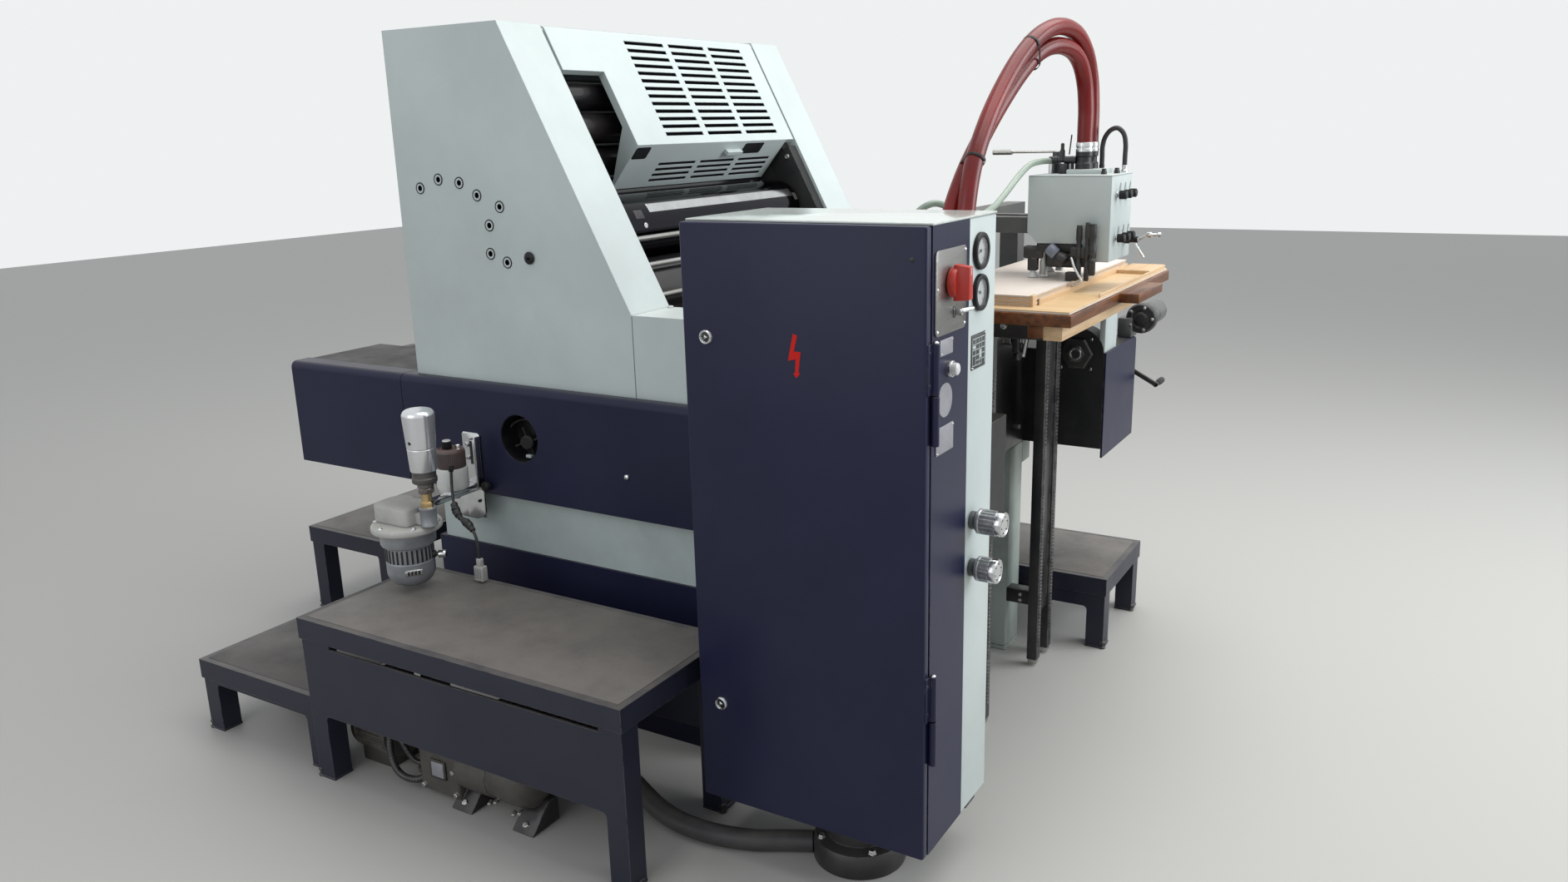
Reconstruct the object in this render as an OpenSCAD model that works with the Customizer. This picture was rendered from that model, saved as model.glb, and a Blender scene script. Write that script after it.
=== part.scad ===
// Single-colour sheet-fed offset printing press with its control cabinet, feeder and steps.
// X runs along the press from the delivery (-) to the feeder (+), -Y is the cabinet side, Z is up.
// The origin is on the floor, under the plinth of the printing unit.

/* [Upper covers] */
// Width over the two upper side covers
press_w = 1220; // [1160:10:1300]
// Thickness of each upper side cover, across the press
cover_t = 145; // [110:5:170]
// Delivery-side edge of the upper covers
cover_x0 = -400; // [-450:5:-380]
// Height of the top of the upper covers
cover_top = 1690; // [1660:5:1750]
// Where the sloping face starts at the top
slope_x0 = -28; // [-40:2:0]
// Where the sloping face ends
slope_x1 = 310; // [300:2:330]
// Height at which the sloping face ends
slope_z1 = 1041; // [1030:1:1060]
// Length of the low extension covers behind the sloping face
ext_l = 380; // [300:10:400]
// Gap at the seam between two covers
seam = 2; // [1:0.5:4]
// Thickness of the sheet covers at the top and the delivery side
sheet_t = 15; // [10:1:20]
// Radius of the peepholes in the near cover
peep_r = 7; // [5:0.5:9]
// Depth of the peepholes
peep_d = 30; // [10:5:60]

/* [Base] */
// Height of the top of the base covers
base_top = 850; // [840:5:870]
// Height of the bottom of the base covers
base_bot = 566; // [540:2:590]
// How far the base covers stand out past the upper covers
base_out = 30; // [20:2:40]
// Thickness of the base covers
base_t = 60; // [40:5:80]
// Rounding of the top edge of the base covers
base_r = 18; // [8:2:26]
// Delivery end of the base covers
base_x0 = -870; // [-900:10:-850]
// Seam between delivery cover and base cover
base_seam_x = -436; // [-446:2:-426]
// Feeder end of the base covers
base_x1 = 1120; // [1110:2:1140]
// Radius of the round hand hole in the near base cover
hand_hole_r = 60; // [50:2:66]
// Place of the hand hole along the press
hand_hole_x = -35; // [-60:5:0]
// Height of the hand hole
hand_hole_z = 722; // [700:2:750]
// Inner face of the lower side frames, from the centre line
frame_in = 340; // [330:2:350]
// Height of the plinth
plinth_h = 412; // [400:2:440]
// Delivery end of the plinth
plinth_x0 = -380; // [-390:5:-350]
// Feeder end of the plinth
plinth_x1 = 560; // [520:10:600]
// How far the pale lower panels stand back from the base covers
lower_back = 36; // [30:2:50]
// Thickness of the upper side frames
frame_t = 40; // [30:2:50]

/* [Rollers] */
// Radius of the plate and blanket cylinders
cyl_r = 85; // [75:1:88]
// Place of the plate cylinder along the press
plate_x = 75; // [70:1:80]
// Height of the plate cylinder
plate_z = 1205; // [1200:1:1210]
// Gap between plate cylinder and blanket cylinder
cyl_gap = 5; // [4:1:10]
// Radius of the ink rollers
ink_r = 38; // [30:1:39]
// Radius of the journals
journal_r = 18; // [12:1:22]
// Radial running clearance of the journals in the frames
run_gap = 0.05; // [0.02:0.01:0.1]
// Side clearance between rollers and frames
side_gap = 10; // [6:1:14]

/* [Front guard] */
// Thickness of the guard panel with its folded edges
guard_t = 20; // [14:1:22]
// Clearance at each end of the guard
guard_gap = 10; // [7:1:14]
// Length of the guard down the slope
guard_l = 318; // [310:2:322]
// Width of the cut-out at the near end of the guard
notch_w = 151; // [120:5:160]
// Distance of the cut-out from the top edge
notch_s = 118; // [100:2:140]
// Height of one slot
slot_h = 10; // [6:1:13]
// Pitch of the slots down the slope
slot_pitch = 21.5; // [19:0.5:22]
// Width of one slot
slot_w = 166; // [140:2:170]

/* [Cabinet] */
// Width of the cabinet along the press
cab_w = 485; // [460:5:500]
// Left edge of the cabinet
cab_x0 = 695; // [690:1:705]
// Height of the cabinet body
cab_h = 1152; // [1100:4:1180]
// Height of the bottom of the cabinet
cab_z0 = 130; // [110:2:150]
// Depth of the blue front part
cab_front_d = 180; // [150:5:200]
// Depth of the pale rear part
cab_rear_d = 126; // [100:2:140]
// Thickness of the door
door_t = 20; // [14:1:24]
// Wall thickness of the blue part
cab_wall = 15; // [10:1:20]
// Gap around the door
door_gap = 3; // [2:0.5:4]
// Radius of the hinge pins
pin_r = 3; // [2:0.5:4]
// Thickness of the lid
lid_t = 4; // [3:0.5:6]
// Radius of the stand under the cabinet
stand_r = 95; // [70:5:110]

/* [Feeder] */
// Height of the top of the pile board
board_top = 1066; // [1060:1:1072]
// Thickness of the pile board
board_t = 26; // [20:1:28]
// Length of the pile board along the press
board_l = 347; // [320:1:350]
// Width of the pile board
board_w = 814; // [760:2:830]
// Face of the pile front plate
front_x = 900; // [894:1:904]
// Height of the top of the feeder head
head_top = 1322; // [1310:2:1330]
// Length of the feeder head
head_l = 188; // [170:2:200]
// Width of the feeder head
head_w = 166; // [150:2:180]
// Side of the square guide posts
post_w = 30; // [20:2:36]
// Outer diameter of the suction hoses
hose_d = 36; // [30:1:38]
// Outer diameter of the air hose
air_d = 14; // [10:1:16]
// Outer diameter of the small hose on the feeder head
head_hose_d = 11; // [8:1:13]
// Outer diameter of the hose on the floor
floor_hose_d = 44; // [36:2:48]

/* [Steps] */
// Height of the high step
step_h = 400; // [380:2:406]
// Length of the high step
step_l = 926; // [900:2:940]
// Depth of the high step
step_d = 377; // [360:2:400]
// Height of the low step
low_h = 190; // [170:5:220]
// Length of the low step
low_l = 450; // [400:5:480]
// Depth of the low step
low_d = 290; // [260:5:320]
// Side of the legs of the steps
leg_w = 50; // [40:2:56]
// Thickness of the top plates of the steps
tread_t = 8; // [5:1:10]
// Height of the far step
far_h = 210; // [190:5:240]
// Height of the delivery step
del_h = 270; // [250:5:300]

/* [Powder sprayer] */
// Radius of the jar
jar_r = 39; // [36:1:42]
// Radius of the motor
motor_r = 56; // [50:1:62]
// Diameter of the lead of the powder jar
lead_d = 7; // [5:1:8]
// Radius of the silver cylinder at its top
pot_r = 37; // [34:1:42]

/* [Hidden] */
$fn = 64;

// How far the low frame beams start above the bottom of the base covers, and their end plates
beam_up = 24;
end_t = 5;
near_end_l = 120;
near_end_in = 60;

// Half widths from the centre line of the press
half_w = press_w / 2;
cover_in = half_w - cover_t;
base_face = half_w + base_out;
frame_out = base_face - base_t;
plate_in = cover_in - frame_t;

// Direction down the slope and the outward normal, in X and Z
slope_len = norm([slope_x1 - slope_x0, slope_z1 - cover_top]);
slope_u = [slope_x1 - slope_x0, slope_z1 - cover_top] / slope_len;
slope_n = [-slope_u[1], slope_u[0]];

// Guard hinge, just under the top edge of the slope
hinge_r = guard_t / 2;
hinge_p = on_slope(hinge_r, hinge_r);
hinge_pin_l = 20;
hinge_pin_r = 6;

// Rollers, each at its centre in X and Z
plate_p = [plate_x, plate_z];
blanket_a = -61;
blanket_p = plate_p + (2 * cyl_r + cyl_gap) * [cos(blanket_a), sin(blanket_a)];
form_a = 138;
ink_gap = 5;
ink_p4 = plate_p + (cyl_r + ink_r + ink_gap) * [cos(form_a), sin(form_a)];
ink_p3 = ink_p4 + (2 * ink_r + ink_gap) * [cos(94), sin(94)];
ink_p2 = ink_p3 + (2 * ink_r + ink_gap) * [cos(81), sin(81)];
ink_p1 = ink_p2 + (2 * ink_r + ink_gap) * [cos(106), sin(106)];
journal_l = 30;

// Cabinet faces
cab_x1 = cab_x0 + cab_w;
cab_y1 = -base_face;
cab_split = cab_y1 - cab_rear_d;
cab_y0 = cab_split - cab_front_d;
cab_z1 = cab_z0 + cab_h;
door_y1 = cab_y0 + door_t;

// Door hinges, locks and the controls on the feeder-side face
knuckle_r = 6.5;
knuckle_h = 86;
leaf_t = 3;
leaf_w = 18;
hinge_c = [cab_x1 + 8, door_y1 + door_gap / 2];
hinge_z = [cab_z0 + 190, cab_z0 + 787];
lock_in = 50;
lock_r = 13;
lock_z = [cab_z0 + 214, cab_z0 + 946];
plate_t = 3;
spindle_r = 8;
switch_p = [cab_split - 84, 1183];
button_p = [cab_split - 86, 1036];
button_travel = 5;
button_r = 11;
gauge_y = (cab_split + cab_y1) / 2 - 16;
gauge_z = [1222, 1149];
gauge_r = 33;
regulator_y = cab_split + 29;
regulator_z = [729, 636];
regulator_r = 24;
gear_p = [base_x1 + 20, 905];
bearing_r = 68;
bearing_l = 60;
bearing_p = [base_x1 - end_t - bearing_r - 2, base_top - 5];
crank_p = [base_x1 - 30, 745];
crank_l = 90;

// Feeder
board_x1 = front_x + 5 + board_l;
post_x = 1000;
post_y = [190, 280];
post_z0 = 20;
carrier_z = 985;
head_x0 = 1045;
head_y0 = -90;
head_bot = 1174;
head_low = 1136;
hose_y = [5, 47];
collar_top = 1392;
collar_r = hose_d / 2 + 1.5;
hose_x = 1141;
column_x = 820;
column_w = 50;
beam_h = 50;
beam_z = 1235;
stack_h = 28;

// Steps
step_x0 = cab_x0 - 40 - step_l;
step_y0 = -base_face - 507;
low_back = 22;
rim_h = 50;
rim_in = 4;
apron_t = 6;
apron_r = 12;
step_gap = 0.3;
skirt_z = 165;
far_p = [692, 370];
far_l = 450;
far_d = 360;
del_p = [-1140, -460];
del_l = 360;
del_d = 600;

// Sprayer
jar_p = [-200, -base_face - 72];
jar_z = 593;
motor_p = [-175, -base_face - 250];
pot_p = motor_p + [78, 0];
motor_z = 412;
pump_z = motor_z + 156;
arm_y = 62;
fit_gap = 0.2;

// Routes of the hoses, chosen by hand
suction_1_route = [[1080, -550, 868], [1080, -550, 960], [1080, -550, 1060], [1079, -548, 1160],
    [1077, -535, 1260], [1076, -500, 1355], [1078, -440, 1435], [1083, -368, 1505], [1092, -290, 1568],
    [1104, -213, 1612], [1118, -138, 1632], [1130, -63, 1624], [1137, -5, 1588], [1140, 32, 1530],
    [1141, 45, 1470], [1141, 47, 1424], [1141, 47, 1392]];
suction_2_route = [[1040, -550, 868], [1040, -550, 960], [1040, -550, 1060], [1038, -545, 1160],
    [1038, -522, 1255], [1048, -478, 1338], [1060, -415, 1411], [1072, -345, 1477], [1085, -269, 1537],
    [1098, -199, 1578], [1113, -135, 1594], [1127, -75, 1587], [1135, -31, 1560], [1139, -5, 1516],
    [1141, 4, 1466], [1141, 5, 1424], [1141, 5, 1392]];
air_route = [[930, -480, 868], [930, -480, 920], [930, -480, 980], [930, -480, 1040],
    [930, -480, 1100], [930, -480, 1160], [930, -478, 1215], [942, -470, 1262],
    [975, -452, 1285], [1008, -420, 1270], [1025, -375, 1255], [1030, -320, 1255],
    [1032, -260, 1268], [1034, -200, 1292], [1038, -140, 1322], [1044, -85, 1345],
    [1054, -40, 1352], [1066, 0, 1352]];
floor_route = [[400, -880, 60], [424, -880, 60], [458, -882, 50], [500, -892, 34], [552, -908, 24],
    [620, -925, 24], [700, -925, 24], [780, -905, 24], [830, -879, 24], [860, -864, 24], [892, -848, 24]];

lead_route = [[-168, -744, 650], [-168, -746, 632], [-166, -749, 612], [-161, -754, 592], [-151, -761, 572],
    [-136, -769, 556], [-118, -776, 548], [-98, -783, 545], [-80, -788, 541], [-64, -792, 531],
    [-53, -794, 516], [-48, -795, 498], [-46, -795, 480], [-46, -795, 462]];
head_hose_route = [[1166, 60, 1340], [1166, 60, 1360], [1166, 60, 1382], [1171, 60, 1402], [1183, 60, 1417],
    [1199, 60, 1421], [1213, 60, 1408], [1218, 60, 1386], [1218, 60, 1362], [1218, 60, 1340]];

// Point on the sloping face, a distance down from its top edge and a depth behind it
function on_slope(s, depth) = [slope_x0, cover_top] + s * slope_u - depth * slope_n;

// X on the sloping face at a height, a depth behind it
function slope_x(z, depth) =
    let (s = (cover_top - depth * slope_n[1] - z) / -slope_u[1]) on_slope(s, depth)[0];

// Points of an arc in the plane
function arc(c, r, a0, a1, n = 8) = [for (i = [0 : n]) c + r * [cos(a0 + (a1 - a0) * i / n),
    sin(a0 + (a1 - a0) * i / n)]];

// Rings of a tube along a route, turned with the route
function unit(v) = v / norm(v);
function tangent(p, i) = unit(p[min(i + 1, len(p) - 1)] - p[max(i - 1, 0)]);
function ring(c, t, ref, r, n) =
    let (a = unit(cross(t, ref)), b = cross(t, a))
    [for (k = [0 : n - 1]) c + r * (cos(360 * k / n) * a + sin(360 * k / n) * b)];

// Tube along a route, with flat ends
module tube(p, d, ref, n = 10) {
    m = len(p);
    pts = [for (i = [0 : m - 1]) each ring(p[i], tangent(p, i), ref, d / 2, n)];
    sides = [for (i = [0 : m - 2], k = [0 : n - 1])
        [i * n + k, i * n + (k + 1) % n, (i + 1) * n + (k + 1) % n, (i + 1) * n + k]];
    start = [for (k = [n - 1 : -1 : 0]) k];
    end = [for (k = [0 : n - 1]) (m - 1) * n + k];
    polyhedron(points = pts, faces = concat([start, end], sides), convexity = 8);
}

// Box between two corners
module block(a, b) {
    translate(a) cube(b - a);
}

// Far side as drawn (s = 1) or mirrored to the near side (s = -1)
module side(s) {
    mirror([0, s < 0 ? 1 : 0, 0]) children();
}

// Profile in X and Z, extruded from y0 to y1
module slab(y0, y1) {
    translate([0, y1, 0]) rotate([90, 0, 0]) linear_extrude(y1 - y0) children();
}

// Cylinder along Y
module rod_y(p, r, y0, y1) {
    translate([p[0], y0, p[1]]) rotate([-90, 0, 0]) cylinder(r = r, h = y1 - y0);
}

// Cylinder along X
module rod_x(x0, x1, y, z, r) {
    translate([x0, y, z]) rotate([0, 90, 0]) cylinder(r = r, h = x1 - x0);
}

// Outline of the upper side covers in X and Z
module cover_profile() {
    polygon([[cover_x0, base_top], [cover_x0, cover_top], [slope_x0, cover_top],
        [slope_x1, slope_z1], [slope_x1, base_top]]);
}

// Outline of the upper side frames in X and Z, behind the sloping face
module frame_profile() {
    back = guard_t + 10;
    polygon([[cover_x0 + sheet_t, base_top], [cover_x0 + sheet_t, cover_top - sheet_t],
        [slope_x(cover_top - 90, back) - 60, cover_top - sheet_t],
        [slope_x(cover_top - 90, back), cover_top - 90],
        [slope_x(slope_z1, back), slope_z1], [slope_x(slope_z1, back), base_top]]);
}

// Plate of the printing unit's frame on its low frame beam, near side
module side_frame(x1) {
    difference() {
        union() {
            slab(-cover_in, -plate_in) frame_profile();
            block([base_x0 + sheet_t, -frame_out, base_bot + beam_up], [x1, -frame_in, base_top]);
        }
        for (p = [plate_p, blanket_p, ink_p1, ink_p2, ink_p3, ink_p4])
            rod_y(p, journal_r + run_gap, -cover_in - 1, -plate_in + 1);
    }
}

// The near beam is narrower at its feeder end
module side_frame_near() {
    color("darkslategray") {
        side_frame(base_x1 - near_end_l);
        block([base_x1 - near_end_l - 1, -frame_out, base_bot + beam_up],
            [base_x1, -frame_in - near_end_in, base_top]);
    }
}

// The far beam carries the bearing of the pile hoist
module side_frame_far() {
    color("darkslategray") mirror([0, 1, 0]) {
        side_frame(base_x1 - end_t);
        rod_y(bearing_p, bearing_r, -frame_in - bearing_l, -frame_in);
        rod_y(bearing_p, bearing_r / 4, -frame_in - 1, -frame_in + 8);
    }
}

// Massive base of the printing unit
module plinth() {
    color("#2b2f45") block([plinth_x0, -half_w, 0], [plinth_x1, half_w, plinth_h]);
}

// Blue cover with a rounded top edge, near side
module base_cover(x0, x1) {
    c = [-base_face + base_r, base_top - base_r];
    translate([x0, 0, 0]) rotate([90, 0, 90]) linear_extrude(x1 - x0)
        polygon(concat([[-frame_out, base_bot], [-base_face, base_bot]],
            arc(c, base_r, 180, 90), [[-frame_out, base_top]]));
}

module base_cover_near() {
    color("#2b2f45") difference() {
        base_cover(base_seam_x + seam, base_x1);
        rod_y([hand_hole_x, hand_hole_z], hand_hole_r, -base_face - 1, -frame_out + 1);
    }
}

// Base cover of the far side with its end plate
module base_cover_far() {
    color("#2b2f45") mirror([0, 1, 0]) {
        base_cover(base_seam_x + seam, base_x1);
        block([base_x1 - end_t, -frame_out - 1, base_bot], [base_x1, -frame_in, base_top]);
    }
}

module delivery_covers() {
    color("#2b2f45") {
        base_cover(base_x0, base_seam_x);
        mirror([0, 1, 0]) base_cover(base_x0, base_seam_x);
    }
}

// Delivery table with its rails and chain shaft, between the low frames
module delivery_table() {
    table_z = 800;
    x1 = cover_x0 - 10;
    color("dimgray") {
        block([base_x0 + sheet_t, -frame_in, table_z - 60], [x1, frame_in, table_z]);
        for (y = [-260, 220])
            block([base_x0 + sheet_t, y, table_z], [x1, y + 40, table_z + 30]);
        rod_y([base_x0 + 90, table_z + 22], 20, -frame_in, frame_in);
    }
}

// Pale panels under the base covers
module lower_panels() {
    color("#b4bfb6") for (s = [-1, 1])
        side(s) {
            block([plinth_x0 + 20, frame_in + 60, plinth_h], [plinth_x1, base_face - lower_back, base_bot]);
            block([plinth_x0 + 20, frame_in + 60, base_bot - 1], [plinth_x1, frame_out, base_bot + beam_up]);
        }
}

module upper_cover_blank() {
    difference() {
        slab(-half_w, -cover_in) cover_profile();
        rod_y(hinge_p, hinge_pin_r + run_gap, -cover_in - hinge_pin_l, -cover_in + 1);
    }
}

module upper_cover_near() {
    peep = [[-322, 1319], [-257, 1340], [-188, 1332], [-133, 1303], [-63, 1277],
        [-101, 1233], [-105, 1166], [-53, 1147], [20, 1160]];
    color("#c3ccc6") difference() {
        upper_cover_blank();
        for (p = peep) rod_y(p, peep_r, -half_w - 1, -half_w + peep_d);
    }
}

module upper_cover_far() {
    color("#c3ccc6") mirror([0, 1, 0]) upper_cover_blank();
}

// Low pale covers beside the feed board
module extension_covers() {
    color("#c3ccc6") for (s = [-1, 1])
        side(s) block([slope_x1 + seam, cover_in, base_top],
            [slope_x1 + ext_l, half_w, slope_z1]);
}

module top_cover() {
    color("#c3ccc6") block([cover_x0, -cover_in, cover_top - sheet_t],
        [hinge_p[0] - hinge_r - 6, cover_in, cover_top]);
}

module rear_cover() {
    color("#c3ccc6") block([cover_x0, -cover_in, base_top],
        [cover_x0 + sheet_t, cover_in, cover_top - sheet_t]);
}

// Hinged guard over the rollers, with a folded-in lower part
module front_guard() {
    y0 = -cover_in + guard_gap;
    y1 = cover_in - guard_gap;
    fold_y1 = plate_in - guard_gap;
    low = on_slope(guard_l, 0);
    fold = [low[0] - 92, low[1] - 108];
    fold_t = 6;
    fold_l = norm(fold - low);
    fold_u = (fold - low) / fold_l;
    fold_n = [fold_u[1], -fold_u[0]];
    slot_y0 = -167;
    slot_step = 190;
    color("#c3ccc6") difference() {
        union() {
            rod_y(hinge_p, hinge_r, y0, y1);
            rod_y(hinge_p, hinge_pin_r, y0 - guard_gap - hinge_pin_l + 5, y0);
            rod_y(hinge_p, hinge_pin_r, y1, y1 + guard_gap + hinge_pin_l - 5);
            slab(y0, y1) polygon([on_slope(hinge_r, 0), on_slope(guard_l, 0),
                on_slope(guard_l, guard_t), on_slope(hinge_r, guard_t)]);
            slab(y0 + notch_w, fold_y1) polygon([low, fold, fold + fold_t * fold_n, low + fold_t * fold_n]);
            for (y = [y0 + notch_w, fold_y1 - fold_t])
                slab(y, y + fold_t) polygon([low, fold, on_slope(guard_l - 60, guard_t)]);
            translate([low[0], 0, low[1]]) rotate([0, atan2(-fold_u[1], fold_u[0]), 0])
                block([26, 110, -1], [38, 185, 14]);
        }
        slab(y0 - 1, y0 + notch_w) polygon([on_slope(notch_s, -1), on_slope(guard_l + 1, -1),
            on_slope(guard_l + 1, guard_t + 1), on_slope(notch_s, guard_t + 1)]);
        for (i = [0 : 2], j = [0 : 12]) {
            s = 27 + j * slot_pitch;
            slab(slot_y0 + i * slot_step, slot_y0 + i * slot_step + slot_w)
                polygon([on_slope(s, -1), on_slope(s + slot_h, -1),
                    on_slope(s + slot_h, guard_t + 1), on_slope(s, guard_t + 1)]);
        }
        for (i = [0 : 2], j = [0 : 3]) {
            a = low + (62 + j * 18) * fold_u;
            b = low + (71 + j * 18) * fold_u;
            slab(slot_y0 + i * slot_step, slot_y0 + i * slot_step + slot_w)
                polygon([a - fold_n, b - fold_n, b + (fold_t + 1) * fold_n,
                    a + (fold_t + 1) * fold_n]);
        }
    }
}

// Cylinder with a journal at each end, running in the side frames
module roller(p, r) {
    y1 = plate_in - side_gap;
    rod_y(p, r, -y1, y1);
    rod_y(p, journal_r, -plate_in - journal_l, -y1);
    rod_y(p, journal_r, y1, plate_in + journal_l);
}

module plate_cylinder() {
    y1 = plate_in - side_gap;
    color("silver") difference() {
        roller(plate_p, cyl_r);
        block([plate_p[0] - cyl_r - 1, -y1 - 1, plate_p[1] - 14],
            [plate_p[0] - cyl_r + 22, y1 + 1, plate_p[1] + 14]);
    }
}

module blanket_cylinder() {
    color("#20222a") roller(blanket_p, cyl_r);
}

module ink_roller_1() {
    color("#18181c") roller(ink_p1, ink_r);
}

module ink_roller_2() {
    color("#18181c") roller(ink_p2, ink_r);
}

module ink_roller_3() {
    color("#18181c") roller(ink_p3, ink_r);
}

module ink_roller_4() {
    color("#18181c") roller(ink_p4, ink_r);
}

// Rods across the front of the cylinders, between the side frames
module cross_rods() {
    depth = guard_t + 18;
    rod_z = [1190, 1130, 1060];
    rod_r = 7;
    color("gray") for (z = rod_z)
        rod_y([slope_x(z, depth), z], rod_r, -plate_in, plate_in);
}

// One half of a door hinge on the feeder-side face, its plate towards side s
module hinge_leaf(z, h, s) {
    translate([hinge_c[0], hinge_c[1], z]) {
        cylinder(r = knuckle_r, h = h);
        translate([cab_x1 - hinge_c[0], s > 0 ? 0 : -leaf_w, 0])
            cube([leaf_t, leaf_w, h]);
        translate([cab_x1 - hinge_c[0], s > 0 ? 0 : -knuckle_r, 0])
            cube([hinge_c[0] - cab_x1, knuckle_r, h]);
    }
}

// Sheet-metal box of the blue front part, open towards the door
module cabinet_shell() {
    color("#2b2f45") {
        difference() {
            block([cab_x0, door_y1 + door_gap, cab_z0], [cab_x1, cab_split, cab_z1]);
            block([cab_x0 + cab_wall, door_y1, cab_z0 + cab_wall],
                [cab_x1 - cab_wall, cab_split - cab_wall, cab_z1 - cab_wall]);
        }
        for (z = hinge_z) {
            hinge_leaf(z, knuckle_h, 1);
            translate([hinge_c[0], hinge_c[1], z]) cylinder(r = pin_r, h = 2 * knuckle_h);
        }
    }
}

// Door with its hinge halves and the rings of its two quarter-turn locks
module cabinet_door() {
    color("#2b2f45") {
        block([cab_x0, cab_y0, cab_z0], [cab_x1, door_y1, cab_z1]);
        for (z = lock_z) rod_y([cab_x0 + lock_in, z], lock_r, cab_y0 - 4, cab_y0);
        difference() {
            for (z = hinge_z) hinge_leaf(z + knuckle_h + 2, knuckle_h, -1);
            for (z = hinge_z) translate([hinge_c[0], hinge_c[1], z])
                cylinder(r = pin_r + run_gap, h = 3 * knuckle_h);
        }
    }
}

// Pale rear part with the air controls, and the lid over both parts
module cabinet_rear() {
    color("#c3ccc6") {
        block([cab_x0, cab_split, cab_z0], [cab_x1, cab_y1, cab_z1]);
        block([cab_x0, door_y1 + door_gap, cab_z1], [cab_x1, cab_y1, cab_z1 + lid_t]);
    }
}

// Bare plates on the feeder-side face, and the boss that carries the main switch
module control_plates() {
    color("lightgray") {
        difference() {
            block([cab_x1, switch_p[0] - 65, switch_p[1] - 85],
                [cab_x1 + plate_t, switch_p[0] + 65, switch_p[1] + 57]);
            rod_x(cab_x1 - 1, cab_x1 + plate_t + 1, switch_p[0], switch_p[1], spindle_r + run_gap);
        }
        difference() {
            rod_x(cab_x1, cab_x1 + 9, button_p[0], button_p[1], button_r + 4);
            rod_x(cab_x1 - 1, cab_x1 + 10, button_p[0], button_p[1], button_r + run_gap);
        }
        for (p = [[-126, 1062, 54, 28], [-140, 892, 74, 48], [13, 1013, 67, 63]])
            block([cab_x1, cab_split + p[0], p[1]], [cab_x1 + plate_t, cab_split + p[0] + p[2], p[1] + p[3]]);
        rod_x(cab_x1, cab_x1 + plate_t, cab_split - 102, 984, 30);
    }
}

// Red rotary handle of the main switch, on its spindle
module main_switch() {
    x0 = cab_x1 + plate_t + 1;
    color("#c0352b") {
        rod_x(cab_x1 + 0.5, x0, switch_p[0], switch_p[1], spindle_r);
        rod_x(x0, x0 + 14, switch_p[0], switch_p[1], 26);
        block([x0 + 8, switch_p[0] - 11, switch_p[1] - 31], [x0 + 34, switch_p[0] + 11, switch_p[1] + 31]);
    }
}

// Round push button, standing off the face by its travel
module push_button() {
    color("white") rod_x(cab_x1 + button_travel + 0.5, cab_x1 + button_travel + 14,
        button_p[0], button_p[1], button_r);
}

module gauges() {
    color("#1c1c1e") for (z = gauge_z) rod_x(cab_x1, cab_x1 + 8, gauge_y, z, gauge_r);
}

// Knurled air regulator, turning in front of the face
module regulator(z, l) {
    color("silver") {
        rod_x(cab_x1 + 0.5, cab_x1 + 14, regulator_y, z, 17);
        rod_x(cab_x1 + 14, cab_x1 + l, regulator_y, z, regulator_r);
    }
}

module regulator_upper() {
    regulator(regulator_z[0], 66);
}

module regulator_lower() {
    regulator(regulator_z[1], 56);
}

// Round stand under the cabinet and the bar that ties it to the base
module cabinet_stand() {
    p = [(cab_x0 + cab_x1) / 2 + 40, cab_split - 40];
    color("#1d1d22") {
        translate([p[0], p[1], 0]) cylinder(r = stand_r, h = 50);
        translate([p[0], p[1], 50]) cylinder(r = stand_r * 0.7, h = cab_z0 - 50);
        block([cab_x0 + 150, cab_y1 - 50, cab_z0 - 40], [cab_x1 - 20, cab_y1, cab_z0]);
    }
}

// Board that carries the sheets from the pile to the cylinders, on two cross walls
module feed_board() {
    w = frame_in - 10;
    t = 18;
    x0 = slope_x1 - 8;
    x1 = front_x - 30;
    z0 = slope_z1 - 41;
    z1 = z0 + 30;
    color("#2a2b2e") {
        slab(-w, w) polygon([[x0, z0], [x1, z1], [x1, z1 + t], [x0, z0 + t]]);
        for (x = [slope_x1 + 90, slope_x1 + 310]) {
            a = z0 + (z1 - z0) * (x - x0) / (x1 - x0);
            b = z0 + (z1 - z0) * (x + 30 - x0) / (x1 - x0);
            slab(-cover_in, cover_in) polygon([[x, base_top], [x + 30, base_top], [x + 30, b], [x, a]]);
        }
    }
}

// Pile front plate, legs under the side frames and foot bars of the guide posts
module feeder_frame() {
    color("#22242a") block([front_x - 12, -frame_in, base_bot + beam_up], [front_x, frame_in, carrier_z - 5]);
    color("#b4bfb6") for (s = [-1, 1]) side(s) {
        block([front_x - 100, frame_in - 100, 0], [front_x, frame_in, base_bot + beam_up]);
        block([front_x - 100, frame_in, base_bot - 40], [front_x, frame_in + 60, base_bot + beam_up]);
        block([front_x, frame_in - 100, 150], [post_x - post_w / 2, frame_in - 60, 190]);
    }
}

// Four square posts that guide the pile, two at each side, with their cross bar
module guide_posts() {
    r = post_w / 2;
    color("#141416") {
        for (s = [-1, 1], y = post_y)
            block([post_x - r, s * y - r, post_z0], [post_x + r, s * y + r, carrier_z]);
        block([post_x - r, -post_y[1] - r, carrier_z], [post_x + r, post_y[1] + r, carrier_z + 25]);
        for (s = [-1, 1]) side(s)
            block([front_x + 10, post_y[0] + r, carrier_z],
                [board_x1 - 80, post_y[1] - r, board_top - board_t]);
    }
}

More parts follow.
